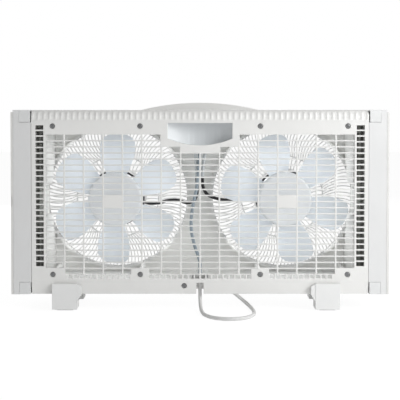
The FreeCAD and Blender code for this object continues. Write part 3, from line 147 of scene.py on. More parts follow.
# ---------------------------------------------------------------- shader groups
def new_group(name, inputs, outputs):
    """A shader node group with float inputs and the given outputs."""
    group = bpy.data.node_groups.new(name, "ShaderNodeTree")
    for label, default in inputs:
        socket = group.interface.new_socket(label, in_out="INPUT", socket_type="NodeSocketFloat")
        socket.default_value = default
    for label in outputs:
        group.interface.new_socket(label, in_out="OUTPUT", socket_type="NodeSocketFloat")
    entry = group.nodes.new("NodeGroupInput")
    result = group.nodes.new("NodeGroupOutput")
    return group, entry, result


def math_node(tree, operation, first, second=None, clamp=False):
    """A Math node whose inputs are sockets or numbers; returns its output."""
    node = tree.nodes.new("ShaderNodeMath")
    node.operation = operation
    node.use_clamp = clamp
    for slot_number, value in enumerate((first, second)):
        if value is None:
            continue
        if isinstance(value, (int, float)):
            node.inputs[slot_number].default_value = value
        else:
            tree.links.new(value, node.inputs[slot_number])
    return node.outputs[0]


def noise_node(tree, vector, scale, detail=2.0):
    node = tree.nodes.new("ShaderNodeTexNoise")
    node.inputs["Detail"].default_value = detail
    tree.links.new(vector, node.inputs["Vector"])
    if isinstance(scale, (int, float)):
        node.inputs["Scale"].default_value = scale
    else:
        tree.links.new(scale, node.inputs["Scale"])
    return node.outputs[0]


def moulded_grain():
    """Fine pitting of a moulded skin, and a slow mottle from the way it filled."""
    group, entry, result = new_group(
        "moulded_grain", [("Grain Scale", 1400.0), ("Mottle Scale", 9.0)], ["Pits", "Mottle"]
    )
    place = group.nodes.new("ShaderNodeTexCoord").outputs["Object"]
    group.links.new(noise_node(group, place, entry.outputs["Grain Scale"], 3.0), result.inputs["Pits"])
    slow = noise_node(group, place, entry.outputs["Mottle Scale"], 4.0)
    contrast = math_node(group, "MULTIPLY_ADD", slow, 2.2, clamp=True)
    contrast.node.inputs[2].default_value = -0.6
    group.links.new(contrast, result.inputs["Mottle"])
    return group


def settled_dust():
    """A mask of dust that lies on faces that look up, broken up by noise."""
    group, entry, result = new_group("settled_dust", [("Amount", 0.5), ("Scale", 60.0)], ["Mask"])
    normal = group.nodes.new("ShaderNodeNewGeometry").outputs["Normal"]
    split = group.nodes.new("ShaderNodeSeparateXYZ")
    group.links.new(normal, split.inputs[0])
    upward = math_node(group, "POWER", math_node(group, "MAXIMUM", split.outputs["Z"], 0.0), 3.0)
    place = group.nodes.new("ShaderNodeTexCoord").outputs["Object"]
    patches = noise_node(group, place, entry.outputs["Scale"], 5.0)
    settled = math_node(group, "MULTIPLY", upward, patches)
    amount = math_node(group, "MULTIPLY", settled, entry.outputs["Amount"])
    group.links.new(amount, result.inputs["Mask"])
    return group


def brushed_lines():
    """Long fine scratches along one axis."""
    group, entry, result = new_group("brushed_lines", [("Across", 900.0), ("Along", 30.0)], ["Lines"])
    place = group.nodes.new("ShaderNodeTexCoord").outputs["Object"]
    stretch = group.nodes.new("ShaderNodeCombineXYZ")
    group.links.new(entry.outputs["Across"], stretch.inputs[0])
    group.links.new(entry.outputs["Along"], stretch.inputs[1])
    group.links.new(entry.outputs["Across"], stretch.inputs[2])
    scaled = group.nodes.new("ShaderNodeVectorMath")
    scaled.operation = "MULTIPLY"
    group.links.new(place, scaled.inputs[0])
    group.links.new(stretch.outputs[0], scaled.inputs[1])
    group.links.new(noise_node(group, scaled.outputs[0], 1.0, 3.0), result.inputs["Lines"])
    return group


GRAIN = moulded_grain()
DUST = settled_dust()
BRUSH = brushed_lines()


def placed(tree, group, **values):
    """The group as a node, with its inputs set; Grain_Scale stands for the input Grain Scale."""
    node = tree.nodes.new("ShaderNodeGroup")
    node.node_tree = group
    for name, value in values.items():
        node.inputs[name.replace("_", " ")].default_value = value
    return node


def mixed(tree, factor, first, second):
    """A colour mix; each colour is three numbers or a socket."""
    node = tree.nodes.new("ShaderNodeMix")
    node.data_type = "RGBA"
    tree.links.new(factor, node.inputs["Factor"])
    for label, value in (("A", first), ("B", second)):
        socket = next(s for s in node.inputs if s.name == label and s.type == "RGBA")
        if isinstance(value, bpy.types.NodeSocket):
            tree.links.new(value, socket)
        else:
            socket.default_value = (*value, 1.0)
    return next(s for s in node.outputs if s.type == "RGBA")


def spread(tree, value, low, high):
    """Maps a 0 to 1 value onto a range."""
    node = tree.nodes.new("ShaderNodeMapRange")
    tree.links.new(value, node.inputs["Value"])
    node.inputs["To Min"].default_value = low
    node.inputs["To Max"].default_value = high
    return node.outputs[0]


def bumped(tree, height, strength, distance):
    node = tree.nodes.new("ShaderNodeBump")
    node.inputs["Strength"].default_value = strength
    node.inputs["Distance"].default_value = distance
    tree.links.new(height, node.inputs["Height"])
    return node.outputs["Normal"]


def new_material(name):
    material = bpy.data.materials.new(name)
    material.use_nodes = True
    tree = material.node_tree
    return material, tree, tree.nodes["Principled BSDF"]


def shade(colour, factor):
    return tuple(min(1.0, c * factor) for c in colour)


def plastic(
    name, colour, roughness=(0.38, 0.5), grain=1400.0, pit=0.12, dust=0.2, tint=0.955, subsurface=0.0
):
    """A moulded plastic: mottled colour, fine pits and a little dust on its upward faces."""
    material, tree, shader = new_material(name)
    skin = placed(tree, GRAIN, Grain_Scale=grain)
    layer = placed(tree, DUST, Amount=dust)
    base = mixed(tree, skin.outputs["Mottle"], shade(colour, tint), colour)
    tree.links.new(mixed(tree, layer.outputs["Mask"], base, (0.56, 0.55, 0.52)), shader.inputs["Base Color"])
    tree.links.new(spread(tree, skin.outputs["Mottle"], *roughness), shader.inputs["Roughness"])
    tree.links.new(bumped(tree, skin.outputs["Pits"], pit, 0.0004), shader.inputs["Normal"])
    shader.inputs["IOR"].default_value = 1.49
    shader.inputs["Subsurface Weight"].default_value = subsurface
    shader.inputs["Subsurface Radius"].default_value = (0.004, 0.004, 0.004)
    return material


def glowing_through(material, colour, share):
    """Lets part of the light on a thin moulding's far side through."""
    tree = material.node_tree
    thin = tree.nodes.new("ShaderNodeBsdfTranslucent")
    thin.inputs["Color"].default_value = (*colour, 1.0)
    blend = tree.nodes.new("ShaderNodeMixShader")
    blend.inputs[0].default_value = share
    tree.links.new(tree.nodes["Principled BSDF"].outputs[0], blend.inputs[1])
    tree.links.new(thin.outputs[0], blend.inputs[2])
    tree.links.new(blend.outputs[0], tree.nodes["Material Output"].inputs["Surface"])
    return material


def recoloured_beyond(material, axis, limit, soft, colour):
    """A second colour where a place along X or Z, in millimetres and without its sign, passes a limit."""
    tree = material.node_tree
    base = tree.nodes["Principled BSDF"].inputs["Base Color"]
    first = base.links[0].from_socket
    split = tree.nodes.new("ShaderNodeSeparateXYZ")
    tree.links.new(tree.nodes.new("ShaderNodeTexCoord").outputs["Object"], split.inputs[0])
    edge = tree.nodes.new("ShaderNodeMapRange")
    edge.inputs["From Min"].default_value = (limit - soft) / METRE
    edge.inputs["From Max"].default_value = (limit + soft) / METRE
    tree.links.new(math_node(tree, "ABSOLUTE", split.outputs[axis]), edge.inputs["Value"])
    tree.links.new(mixed(tree, edge.outputs[0], first, colour), base)
    return material


def metal(name, colour, roughness=(0.25, 0.42), metallic=1.0):
    material, tree, shader = new_material(name)
    lines = placed(tree, BRUSH)
    streaks = mixed(tree, lines.outputs["Lines"], shade(colour, 0.8), shade(colour, 1.12))
    tree.links.new(streaks, shader.inputs["Base Color"])
    tree.links.new(spread(tree, lines.outputs["Lines"], *roughness), shader.inputs["Roughness"])
    tree.links.new(bumped(tree, lines.outputs["Lines"], 0.1, 0.0002), shader.inputs["Normal"])
    shader.inputs["Metallic"].default_value = metallic
    return material


def circuit_board(name):
    """Green lacquer over copper traces."""
    material, tree, shader = new_material(name)
    place = tree.nodes.new("ShaderNodeTexCoord").outputs["Object"]
    cells = tree.nodes.new("ShaderNodeTexVoronoi")
    cells.distance = "MANHATTAN"
    cells.feature = "DISTANCE_TO_EDGE"
    cells.inputs["Scale"].default_value = 140.0
    tree.links.new(place, cells.inputs["Vector"])
    trace = math_node(tree, "LESS_THAN", cells.outputs["Distance"], 0.06)
    tree.links.new(mixed(tree, trace, (0.02, 0.12, 0.05), (0.07, 0.26, 0.10)), shader.inputs["Base Color"])
    tree.links.new(bumped(tree, trace, 0.3, 0.0003), shader.inputs["Normal"])
    shader.inputs["Roughness"].default_value = 0.35
    return material


CASING_WHITE = (0.82, 0.82, 0.805)
# painted light: the front shell is the casing's white plastic, given a brighter white so its shaded inside reads
# lighter
SHELL_WHITE_WITH_PAINTED_LIGHT = (0.95, 0.95, 0.935)
BLADE_WHITE = (0.9, 0.93, 0.96)
GRILLE_WHITE = (0.93, 0.93, 0.925)
CURTAIN_GREY = (0.94, 0.945, 0.93)
STRIP_IN_X = node_box("end_cap_right")[1].x - 3.4
# height above which the black leads are painted the pale grey of the shaded housing wall, so they read as hidden
LEAD_PAINTED_SHADE_Z = FAN_Z + 36
BAY_LAMP_Y = 0.02

MATERIALS = {
    "casing": plastic("casing_white", CASING_WHITE, subsurface=0.05),
    # front shell: a brighter copy of the casing white, painted light on its shaded inside
    "front_shell": glowing_through(plastic("front_shell_white", SHELL_WHITE_WITH_PAINTED_LIGHT), SHELL_WHITE_WITH_PAINTED_LIGHT, 0.25),
    "grip_insert": plastic("grip_insert_grey_white", (0.74, 0.765, 0.78), pit=0.06),
    "front_grille": glowing_through(plastic("front_grille_white", GRILLE_WHITE), GRILLE_WHITE, 0.55),
    "blade": glowing_through(
        plastic("blade_ice_white", BLADE_WHITE, (0.22, 0.34), pit=0.03, tint=0.97), BLADE_WHITE, 0.5
    ),
    "hub": plastic("hub_ice_white", BLADE_WHITE, (0.22, 0.34), pit=0.03, tint=0.97),
    "motor_shell": plastic("motor_enamel_black", (0.025, 0.025, 0.028), (0.3, 0.45)),
    "stator_core": metal("stator_laminations", (0.30, 0.30, 0.31), (0.4, 0.6)),
    "shaft_steel": metal("shaft_ground_steel", (0.55, 0.55, 0.56)),
    "bush_bronze": metal("bush_sintered_bronze", (0.50, 0.34, 0.16), (0.45, 0.6)),
    "screw_steel": metal("screw_zinc_plate", (0.30, 0.305, 0.31), (0.3, 0.5), 0.75),
    # end caps: a darker white than the casing, partly their own tone and partly painted shade taken from the
    # darker left end
    "end_cap": recoloured_beyond(
        plastic("end_cap_white", (0.75, 0.755, 0.755)), "X", STRIP_IN_X, 0.2, (0.74, 0.74, 0.72)
    ),
    "corner_clip": plastic("corner_clip_white", (0.75, 0.76, 0.76)),
    "rail": plastic("rail_white", (0.76, 0.76, 0.755), pit=0.05),
    "curtain": glowing_through(
        plastic("curtain_grey_sheet", CURTAIN_GREY, (0.5, 0.65), grain=800.0), CURTAIN_GREY, 0.5
    ),
    "foot": plastic("foot_white", (0.83, 0.835, 0.83)),
    "foot_pad": plastic("foot_pad_rubber", (0.32, 0.32, 0.32), (0.7, 0.85), grain=900.0, pit=0.3),
    "panel": plastic("panel_silver_grey", (0.52, 0.545, 0.56), (0.3, 0.4)),
    "display": plastic("display_smoked", (0.012, 0.014, 0.018), (0.06, 0.1), pit=0.0, dust=0.1),
    "button": plastic("button_white", (0.82, 0.825, 0.82), (0.3, 0.4), pit=0.05),
    "board": circuit_board("board_green"),
    # leads: black below that height, painted shade of the housing wall above it
    "lead_black": recoloured_beyond(
        plastic("lead_black_sleeve", (0.012, 0.012, 0.014), (0.35, 0.5), pit=0.05),
        "Z", LEAD_PAINTED_SHADE_Z, 0.5, (0.62, 0.65, 0.67),
    ),
    "lead_grey": plastic("lead_blue_grey_sleeve", (0.30, 0.36, 0.41), (0.35, 0.5), pit=0.05),
    "cord": plastic("cord_white_jacket", (0.70, 0.70, 0.695), (0.4, 0.5), pit=0.06),
    "plug_blade": metal("plug_blade_brass", (0.62, 0.47, 0.22)),
}


# ---------------------------------------------------------------- mesh helpers
def add_prism(bm, outline, low, high, axis):
    """A closed prism: an outline pushed along X, Y or Z."""
    order = {
        "X": lambda a, b, c: (c, a, b),
        "Y": lambda a, b, c: (a, c, b),
        "Z": lambda a, b, c: (a, b, c),
    }[axis]
    ends = [[bm.verts.new(order(a, b, level)) for a, b in outline] for level in (low, high)]
    count = len(outline)
    for k in range(count):
        after = (k + 1) % count
        bm.faces.new((ends[0][k], ends[0][after], ends[1][after], ends[1][k]))
    bm.faces.new(ends[0][::-1])
    bm.faces.new(ends[1])


def add_block(bm, low, high):
    outline = [(low[0], low[1]), (high[0], low[1]), (high[0], high[1]), (low[0], high[1])]
    add_prism(bm, outline, low[2], high[2], "Z")


def add_turned(bm, profile, centre, steps=64):
    """A closed profile of (radius, y) turned about an axis along Y through centre."""
    rings = []
    for radius, y in profile:
        if radius == 0:
            rings.append([bm.verts.new((centre.x, y, centre.z))] * steps)
            continue
        angles = [2 * math.pi * k / steps for k in range(steps)]
        rings.append([
            bm.verts.new((centre.x + radius * math.cos(a), y, centre.z + radius * math.sin(a)))
            for a in angles
        ])
    for ring, following in zip(rings, rings[1:] + rings[:1]):
        for k in range(steps):
            after = (k + 1) % steps
            corners = []
            for vertex in (ring[k], ring[after], following[after], following[k]):
                if vertex not in corners:
                    corners.append(vertex)
            if len(corners) > 2:
                bm.faces.new(corners)


def arc_points(centre, radius, start_deg, end_deg, steps):
    """Points along an arc, both ends included."""
    angles = [math.radians(start_deg + (end_deg - start_deg) * k / steps) for k in range(steps + 1)]
    return [(centre[0] + radius * math.cos(a), centre[1] + radius * math.sin(a)) for a in angles]


def rectangle(x, z):
    return [(x[0], z[0]), (x[1], z[0]), (x[1], z[1]), (x[0], z[1])]


def add_punched_plate(bm, outer, holes, rear_y, thickness, rounding, move=None):
    """A plate in the XZ plane with holes, every rim rounded."""
    curve = bpy.data.curves.new("punched_plate", "CURVE")
    curve.dimensions = "2D"
    curve.fill_mode = "BOTH"
    curve.extrude = thickness / 2 - rounding
    curve.bevel_depth = rounding
    curve.bevel_resolution = 1
    curve.offset = -rounding
    for loop in [outer] + [hole[::-1] for hole in holes]:
        spline = curve.splines.new("POLY")
        spline.points.add(len(loop) - 1)
        for point, (x, z) in zip(spline.points, loop):
            point.co = (x, z, 0, 1)
        spline.use_cyclic_u = True
    holder = bpy.data.objects.new("punched_plate", curve)
    bpy.context.scene.collection.objects.link(holder)
    mesh = bpy.data.meshes.new_from_object(holder)
    upright = Matrix.Translation((0, rear_y + thickness / 2, 0)) @ Matrix.Rotation(math.pi / 2, 4, "X")
    mesh.transform((move or Matrix.Identity(4)) @ upright)
    bm.from_mesh(mesh)
    bpy.data.objects.remove(holder)
    bpy.data.meshes.remove(mesh)
    bpy.data.curves.remove(curve)


def piece(name, bm, body, slot, replaced=(), bevel=0.0, segments=2, sharp_deg=40, weld=0.0):
    """Turns a mesh in millimetres into a finished piece in metres that rides on a body."""
    if weld:
        bmesh.ops.remove_doubles(bm, verts=bm.verts, dist=weld)
    bmesh.ops.recalc_face_normals(bm, faces=bm.faces)
    mesh = bpy.data.meshes.new(name)
    bm.to_mesh(mesh)
    bm.free()
    mesh.transform(Matrix.Scale(1 / METRE, 4))
    mesh.shade_smooth()
    mesh.set_sharp_from_angle(angle=math.radians(sharp_deg))
    thing = bpy.data.objects.new(name, mesh)
    bpy.context.scene.collection.objects.link(thing)
    if bevel:
        add_rounding(thing, bevel, segments)
    mesh.materials.append(MATERIALS[slot])
    if body:
        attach(thing, body)
    if replaced:
        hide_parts(*replaced)
    return thing


def add_rounding(thing, width, segments=2):
    """Rounds a piece's sharp edges."""
    rounding = thing.modifiers.new("rounding", "BEVEL")
    rounding.width = width / METRE
    rounding.segments = segments
    rounding.limit_method = "ANGLE"
    rounding.angle_limit = math.radians(40)
    rounding.harden_normals = True


# ---------------------------------------------------------------- rear cover
def grille_rows(column):
    """How many rows of gaps a column has above and below the fans' axis."""
    from_side = min(column, COLUMNS - 1 - column)
    above = {6: 9, 7: 8}.get(from_side, 11)
    below = 11 if from_side == 0 else 12
    return above, below


def plate_holes():
    holes = []
    for column in range(COLUMNS):
        above, below = grille_rows(column)
        left = (column - COLUMNS / 2) * COLUMN + COLUMN_RIB / 2
        right = left + COLUMN - COLUMN_RIB
        low = FAN_Z - below * BAR_PITCH + BAR_HEIGHT / 2
        high = FAN_Z + above * BAR_PITCH
        pad_low = FAN_Z - 11 * BAR_PITCH
        screws = [s * SCREW_XS[0] for s in (-1, 1) if left - 15 < s * SCREW_XS[0] < right + 15]
        lower_screw = screws[0] if screws else None
        if lower_screw is None:
            holes.append(rectangle((left, right), (low, high)))
            continue
        outline = [(left, low), (right, low), (right, high), (left, high)]
        pad_left, pad_right = lower_screw - 14.5, lower_screw + 14.5
        if pad_left <= left and pad_right >= right:
            outline = [(left, pad_low), (right, pad_low), (right, high), (left, high)]
        elif pad_left > left:
            outline = [
                (left, low), (pad_left, low), (pad_left, pad_low),
                (right, pad_low), (right, high), (left, high),
            ]
        elif pad_right < right:
            outline = [
                (left, pad_low), (pad_right, pad_low), (pad_right, low),
                (right, low), (right, high), (left, high),
            ]
        holes.append(outline)
    return holes


def square_holes():
    holes = []
    for k in range(-23, 23):
        middle = k + 0.5
        if 9 <= abs(middle) <= 12:
            continue
        x = middle * SQUARE_PITCH
        holes.append(rectangle(
            (x - SQUARE[0] / 2, x + SQUARE[0] / 2), (SQUARE_Z - SQUARE[1] / 2, SQUARE_Z + SQUARE[1] / 2)
        ))
    return holes


def slot_holes():
    holes = []
    for sign in SIDES.values():
        x = sorted((sign * SLOT_INNER_X, sign * (SLOT_INNER_X + SLOT[0])))
        for row in range(SLOT_COUNT):
            low = SLOT_LOW_Z + row * SLOT_PITCH
            holes.append(rectangle(x, (low, low + SLOT[1])))
    return holes


def grip_outline():
    half = GRIP_WIDTH / 2
    lean = math.degrees(math.asin(half / GRIP_ARC))
    arch = arc_points((0, GRIP_LOW + GRIP_ARC), GRIP_ARC, -90 - lean, -90 + lean, 24)
    return arch + [(half, GRIP_TOP), (-half, GRIP_TOP)]


def screw_spots():
    return [(sign * x, z) for sign in SIDES.values() for x in SCREW_XS for z in SCREW_ZS]


def add_fluted_shoulder(bm):
    """The top of the cover: a rounded shoulder with a row of shallow upright flutes."""
    arc_centre = (REAR + SHOULDER, TOP - SHOULDER)
    outer = [(REAR + 0.02, GRIP_TOP - 4), (REAR + 0.02, GRIP_TOP + 0.5), (REAR + 0.02, TOP - SHOULDER)]
    outer += arc_points(arc_centre, SHOULDER, 180, 90, 12)[1:] + [(SPLIT, TOP)]
    flute_low, flute_high = GRIP_TOP + 0.8, TOP - 2.6
    steps_per_flute = 8
    count = int(2 * HALF_WIDTH / FLUTE_PITCH * steps_per_flute)
    fine = []
    for (y, z), (after_y, after_z) in zip(outer, outer[1:]):
        parts = max(1, int(math.hypot(after_y - y, after_z - z) / 1.2))
        parts = min(parts, 6)
        fine += [(y + (after_y - y) * k / parts, z + (after_z - z) * k / parts) for k in range(parts)]
    fine.append(outer[-1])
    inner_arc = arc_points(arc_centre, SHOULDER - WALL - 0.4, 90, 180, 6)
    inner = [(SPLIT, TOP - WALL)] + inner_arc + [(REAR + PLATE, GRIP_TOP - 4)]
    rings = []
    for station in range(count + 1):
        x = -HALF_WIDTH + 2 * HALF_WIDTH * station / count
        phase = abs(((x / FLUTE_PITCH) % 1.0) - 0.5) * 2
        across = min(1.0, max(0.0, (0.74 - phase) / 0.2))
        ring = []
        for y, z in fine:
            along = min(1.0, max(0.0, (z - flute_low) / 1.2)) * min(1.0, max(0.0, (flute_high - z) / 1.6))
            depth = FLUTE_DEPTH * across * along
            out = Vector((min(0.0, y - arc_centre[0]), max(0.0, z - arc_centre[1])))
            out = out.normalized() if out.length > 0 else Vector((0, 1))
            ring.append(bm.verts.new((x, y - out.x * depth, z - out.y * depth)))
        ring += [bm.verts.new((x, y, z)) for y, z in inner]
        rings.append(ring)
    size = len(rings[0])
    for ring, following in zip(rings, rings[1:]):
        for k in range(size):
            after = (k + 1) % size
            bm.faces.new((ring[k], ring[after], following[after], following[k]))
    bm.faces.new(rings[0])
    bm.faces.new(rings[-1][::-1])


def make_rear_cover():
    bm = bmesh.new()
    circles = [arc_points(spot, SCREW_HEAD + 0.5, 0, 345, 23) for spot in screw_spots()]
    half = GRIP_WIDTH / 2
    grip = grip_outline()
    open_grip = grip[:-2] + [(half, GRIP_TOP + 0.6), (-half, GRIP_TOP + 0.6)]
    corners = [(-HALF_WIDTH, SKIRT_TOP), (HALF_WIDTH, SKIRT_TOP), (HALF_WIDTH, GRIP_TOP + 0.6)]
    outer = corners + open_grip[-2:-1] + open_grip[:-2][::-1] + open_grip[-1:]
    outer += [(-HALF_WIDTH, GRIP_TOP + 0.6)]
    holes = plate_holes() + square_holes() + slot_holes() + circles
    add_punched_plate(bm, outer, holes, REAR, PLATE, 0.55)
    for row in range(BAR_ROWS[0], BAR_ROWS[1] + 1):
        z = FAN_Z + row * BAR_PITCH
        reach = COLUMNS / 2 * COLUMN
        start = 0.0 if row < 9 else 2 * COLUMN
        spans = [(-reach, reach)] if start == 0 else [(-reach, -start), (start, reach)]
        bar_y = (REAR + BAR_INSET, REAR + PLATE - BAR_INSET)
        section = rectangle(bar_y, (z - BAR_HEIGHT / 2, z + BAR_HEIGHT / 2))
        chamfer = 0.6
        (y0, z0), (y1, _), (_, z1), _ = section
        section = [
            (y0, z0 + chamfer), (y0 + chamfer, z0), (y1 - chamfer, z0), (y1, z0 + chamfer),
            (y1, z1 - chamfer), (y1 - chamfer, z1), (y0 + chamfer, z1), (y0, z1 - chamfer),
        ]
        for low, high in spans:
            add_prism(bm, section, low, high, "X")
    for centre in FANS.values():
        pad = rectangle(
            (centre.x - COLUMN / 2, centre.x + COLUMN / 2), (FAN_Z - BAR_PITCH, FAN_Z + BAR_PITCH)
        )
        add_punched_plate(bm, pad, [], REAR + 0.2, PLATE - 0.4, 0.7)
    for x, z in screw_spots():
        seat = [(0, REAR + SCREW_SEAT), (6.2, REAR + SCREW_SEAT), (6.2, REAR + 7), (0, REAR + 7)]
        add_turned(bm, seat, Vector((x, 0, z)), 32)
    add_fluted_shoulder(bm)
    tilt = math.atan(SKIRT_SET_BACK / (SKIRT_TOP - BOTTOM))
    hinge = Matrix.Translation((0, REAR, SKIRT_TOP))
    lean = hinge @ Matrix.Rotation(tilt, 4, "X") @ hinge.inverted()
    half_notch = NOTCH_WIDTH / 2
    skirt = [
        (-HALF_WIDTH, BOTTOM), (-half_notch, BOTTOM), (-half_notch, FLOOR_LOW), (half_notch, FLOOR_LOW),
        (half_notch, BOTTOM), (HALF_WIDTH, BOTTOM), (HALF_WIDTH, SKIRT_TOP + 1), (-HALF_WIDTH, SKIRT_TOP + 1),
    ]
    screw_hole = arc_points(SKIRT_SCREW, SCREW_HEAD + 0.5, 0, 345, 23)
    add_punched_plate(bm, skirt, [screw_hole], REAR + 0.02, PLATE, 0.4, lean)
    seat_y = REAR + SKIRT_SCREW_SEAT
    skirt_seat = [(0, seat_y), (6, seat_y), (6, seat_y + 2), (0, seat_y + 2)]
    add_turned(bm, skirt_seat, Vector((SKIRT_SCREW[0], 0, SKIRT_SCREW[1])), 32)
    add_block(bm, (-HALF_WIDTH, REAR + PLATE - 0.5, FLOOR_LOW), (HALF_WIDTH, SPLIT, FLOOR_LOW + WALL))
    piece("rear_casing", bm, "housing", "casing", ["rear_cover"], sharp_deg=50)


# ---------------------------------------------------------------- impellers
def blade_point(along, across, side):
    """A point of a petal's front or rear skin; along runs root to tip and across edge to edge."""
    reach = math.sqrt(max(0.0, 1 - abs(across) ** 2.6))
    tip = BLADE_SHOULDER + (BLADE_TIP - BLADE_SHOULDER) * reach
    root = HUB_RADIUS - 1.1
    radius = root + (tip - root) * along
    angle = across * BLADE_HALF * (1 - 0.2 * along ** 4)
    rim = max(abs(across) ** 10, along ** 14)
    half = BLADE_THICK / 2 * (1 - 0.75 * rim)
    camber = 1.2 * (1 - across ** 2) * math.sin(math.pi * min(1.0, along * 0.9))
    y = BLADE_MIDDLE_Y - radius * math.sin(angle) * BLADE_SLOPE + camber - 0.6 + side * half
    return Vector((radius * math.cos(angle), y, radius * math.sin(angle)))


def add_blade(bm, turn, centre):
    rows, columns = 22, 24
    skins = []
    for side in (-1, 1):
        skin = []
        for i in range(rows + 1):
            skin.append([
                bm.verts.new(turn @ blade_point(i / rows, 2 * j / columns - 1, side) + centre)
                for j in range(columns + 1)
            ])
        skins.append(skin)
    rear, front = skins
    for i in range(rows):
        for j in range(columns):
            bm.faces.new((rear[i][j], rear[i][j + 1], rear[i + 1][j + 1], rear[i + 1][j]))
            bm.faces.new((front[i][j], front[i + 1][j], front[i + 1][j + 1], front[i][j + 1]))
    border = [(0, j) for j in range(columns)] + [(i, columns) for i in range(rows)]
    border += [(rows, columns - j) for j in range(columns)] + [(rows - i, 0) for i in range(rows)]
    for (i, j), (p, q) in zip(border, border[1:] + border[:1]):
        bm.faces.new((rear[i][j], front[i][j], front[p][q], rear[p][q]))


def make_impeller(side, centre):
    bm = bmesh.new()
    hub = centre.copy()
    hub.y = 0
    wall, deep = 2.2, HUB_REAR_Y + HUB_DEPTH
    crown = [(HUB_RADIUS - 5 + dx, HUB_REAR_Y + 5 + dy) for dx, dy in arc_points((0, 0), 5, -90, 0, 6)]
    profile = [(8.0, HUB_REAR_Y)] + crown + [(HUB_RADIUS, deep), (HUB_RADIUS - wall, deep)]
    profile += [(HUB_RADIUS - wall, HUB_REAR_Y + 5), (HUB_RADIUS - wall - 3, HUB_REAR_Y + wall)]
    profile += [(8.0, HUB_REAR_Y + wall), (8.0, deep - 4), (4.05, deep - 4), (4.05, HUB_REAR_Y)]
    cup = bmesh.new()
    add_turned(cup, profile, hub, 96)
    hub_cup = piece(f"fan_hub_{side}", cup, f"fan_{side}", "blade", sharp_deg=50)
    hub_cup.data.materials[0] = MATERIALS["hub"]
    for k in range(6):
        turn = Matrix.Rotation(-math.radians(FAN_START_DEG[side] + 60 * k), 3, "Y")
        add_blade(bm, turn, hub)
    piece(f"fan_blades_{side}", bm, f"fan_{side}", "blade", [f"impeller_{side}"], sharp_deg=50)


# ---------------------------------------------------------------- side curtains
def make_curtain(side, sign):
    """A pleated sheet between the housing's bay and the end cap."""
    low, high = node_box(f"accordion_{side}")
    near, far = (low.x, high.x) if sign > 0 else (high.x, low.x)
    folds, thick = 16, 0.5
    bm = bmesh.new()
    step = (far - near - sign * thick) / folds
    line = []
    for k in range(folds + 1):
        y = low.y if k % 2 == 0 else high.y
        x = near + step * k
        inward = 2.0 if k % 2 == 0 else -2.0
        line += [(x - step * 0.06, y + inward), (x, y), (x + step * 0.06, y + inward)]
    line = line[1:-1]
    outline = [(x, y) for x, y in line] + [(x + sign * thick, y) for x, y in reversed(line)]
    levels = 12
    rings = []
    for level in range(levels + 1):
        z = low.z + (high.z - low.z) * level / levels
        rings.append([bm.verts.new((x, y, z)) for x, y in outline])
    count = len(outline)
    for ring, following in zip(rings, rings[1:]):
        for k in range(count):
            after = (k + 1) % count
            bm.faces.new((ring[k], ring[after], following[after], following[k]))
    for ring in (rings[0], rings[-1]):
        for k in range(len(line) - 1):
            bm.faces.new((ring[k], ring[k + 1], ring[-2 - k], ring[-1 - k]))
    curtain = piece(f"pleated_curtain_{side}", bm, None, "curtain", sharp_deg=30)
    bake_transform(curtain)
    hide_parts(f"accordion_{side}")


# ---------------------------------------------------------------- screws
def add_screw_head(bm, x, z, seat_y):
    """A pan head with a cross recess, as rings of points over its crown."""
    steps, around = 14, 48
    rings = []
    for i in range(1, steps + 1):
        radius = SCREW_HEAD * i / steps
        crown = SCREW_CROWN * math.sqrt(max(0.0, 1 - (radius / SCREW_HEAD) ** 4))
        ring = []
        for k in range(around):
            dx, dz = (radius * turn(2 * math.pi * k / around) for turn in (math.cos, math.sin))
            in_cross = radius < CROSS_REACH and min(abs(dx), abs(dz)) < CROSS_HALF
            ring.append(bm.verts.new((x + dx, seat_y - crown + (CROSS_DEEP if in_cross else 0), z + dz)))
        rings.append(ring)
    bm.faces.new(rings[0])
    for ring, following in zip(rings, rings[1:]):
        for k in range(around):
            after = (k + 1) % around
            bm.faces.new((ring[k], ring[after], following[after], following[k]))
    bm.faces.new(rings[-1][::-1])


def make_screws():
    bm = bmesh.new()
    for x, z in screw_spots():
        add_screw_head(bm, x, z, REAR + SCREW_SEAT)
    add_screw_head(bm, *SKIRT_SCREW, REAR + SKIRT_SCREW_SEAT)
    piece("casing_screws", bm, "housing", "screw_steel", ["cover_screws"])


# ---------------------------------------------------------------- cord
def coil_points():
    """The coil's turns: three rings on the surface, wound inwards, and three on top, wound outwards."""
    gap = 2 * CORD_RADIUS
    rings = (COIL_RING + gap, COIL_RING, COIL_RING - gap)
    low, high = CORD_RADIUS + 0.2, CORD_RADIUS + 0.2 + gap
    radius_steps = [
        (0.8, rings[0], rings[1]), (1.8, rings[1], rings[2]), (3.38, rings[2], rings[1]),
        (4.38, rings[1], rings[0]),
    ]
    turns, jog, start_deg = 5.54, 0.16, -15.0
    steps = round(turns * 24)

    def eased(share):
        share = min(1.0, max(0.0, share))
        return share * share * (3 - 2 * share)

    points = []
    for k in range(steps + 1):
        wound = turns * k / steps
        radius = rings[0]
        for begin, before, after in radius_steps:
            radius += (after - before) * eased((wound - begin) / jog)
        z = low + (high - low) * eased((wound - 2.58) / 0.2)
        angle = math.radians(start_deg) + 2 * math.pi * wound
        x, y = COIL_CENTRE[0] + radius * math.cos(angle), COIL_CENTRE[1] + radius * math.sin(angle)
        points.append((x, y, z))
    return points


def make_cord():
    points = CORD_ROUTE + coil_points() + CORD_END
    curve = bpy.data.curves.new("mains_cord", "CURVE")
    curve.dimensions = "3D"
    curve.bevel_depth = CORD_RADIUS / METRE
    curve.bevel_resolution = 6
    curve.resolution_u = 8
    curve.use_fill_caps = True
    spline = curve.splines.new("NURBS")
    spline.points.add(len(points) - 1)
    for target, point in zip(spline.points, points):
        target.co = (*(value / METRE for value in point), 1.0)
    spline.order_u = 3
    spline.use_endpoint_u = True
    cord = bpy.data.objects.new("mains_cord", curve)
    bpy.context.scene.collection.objects.link(cord)
    curve.materials.append(MATERIALS["cord"])
    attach(cord, "housing")
    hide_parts("power_cord", "cord_coil", "cord_tail")
    return cord


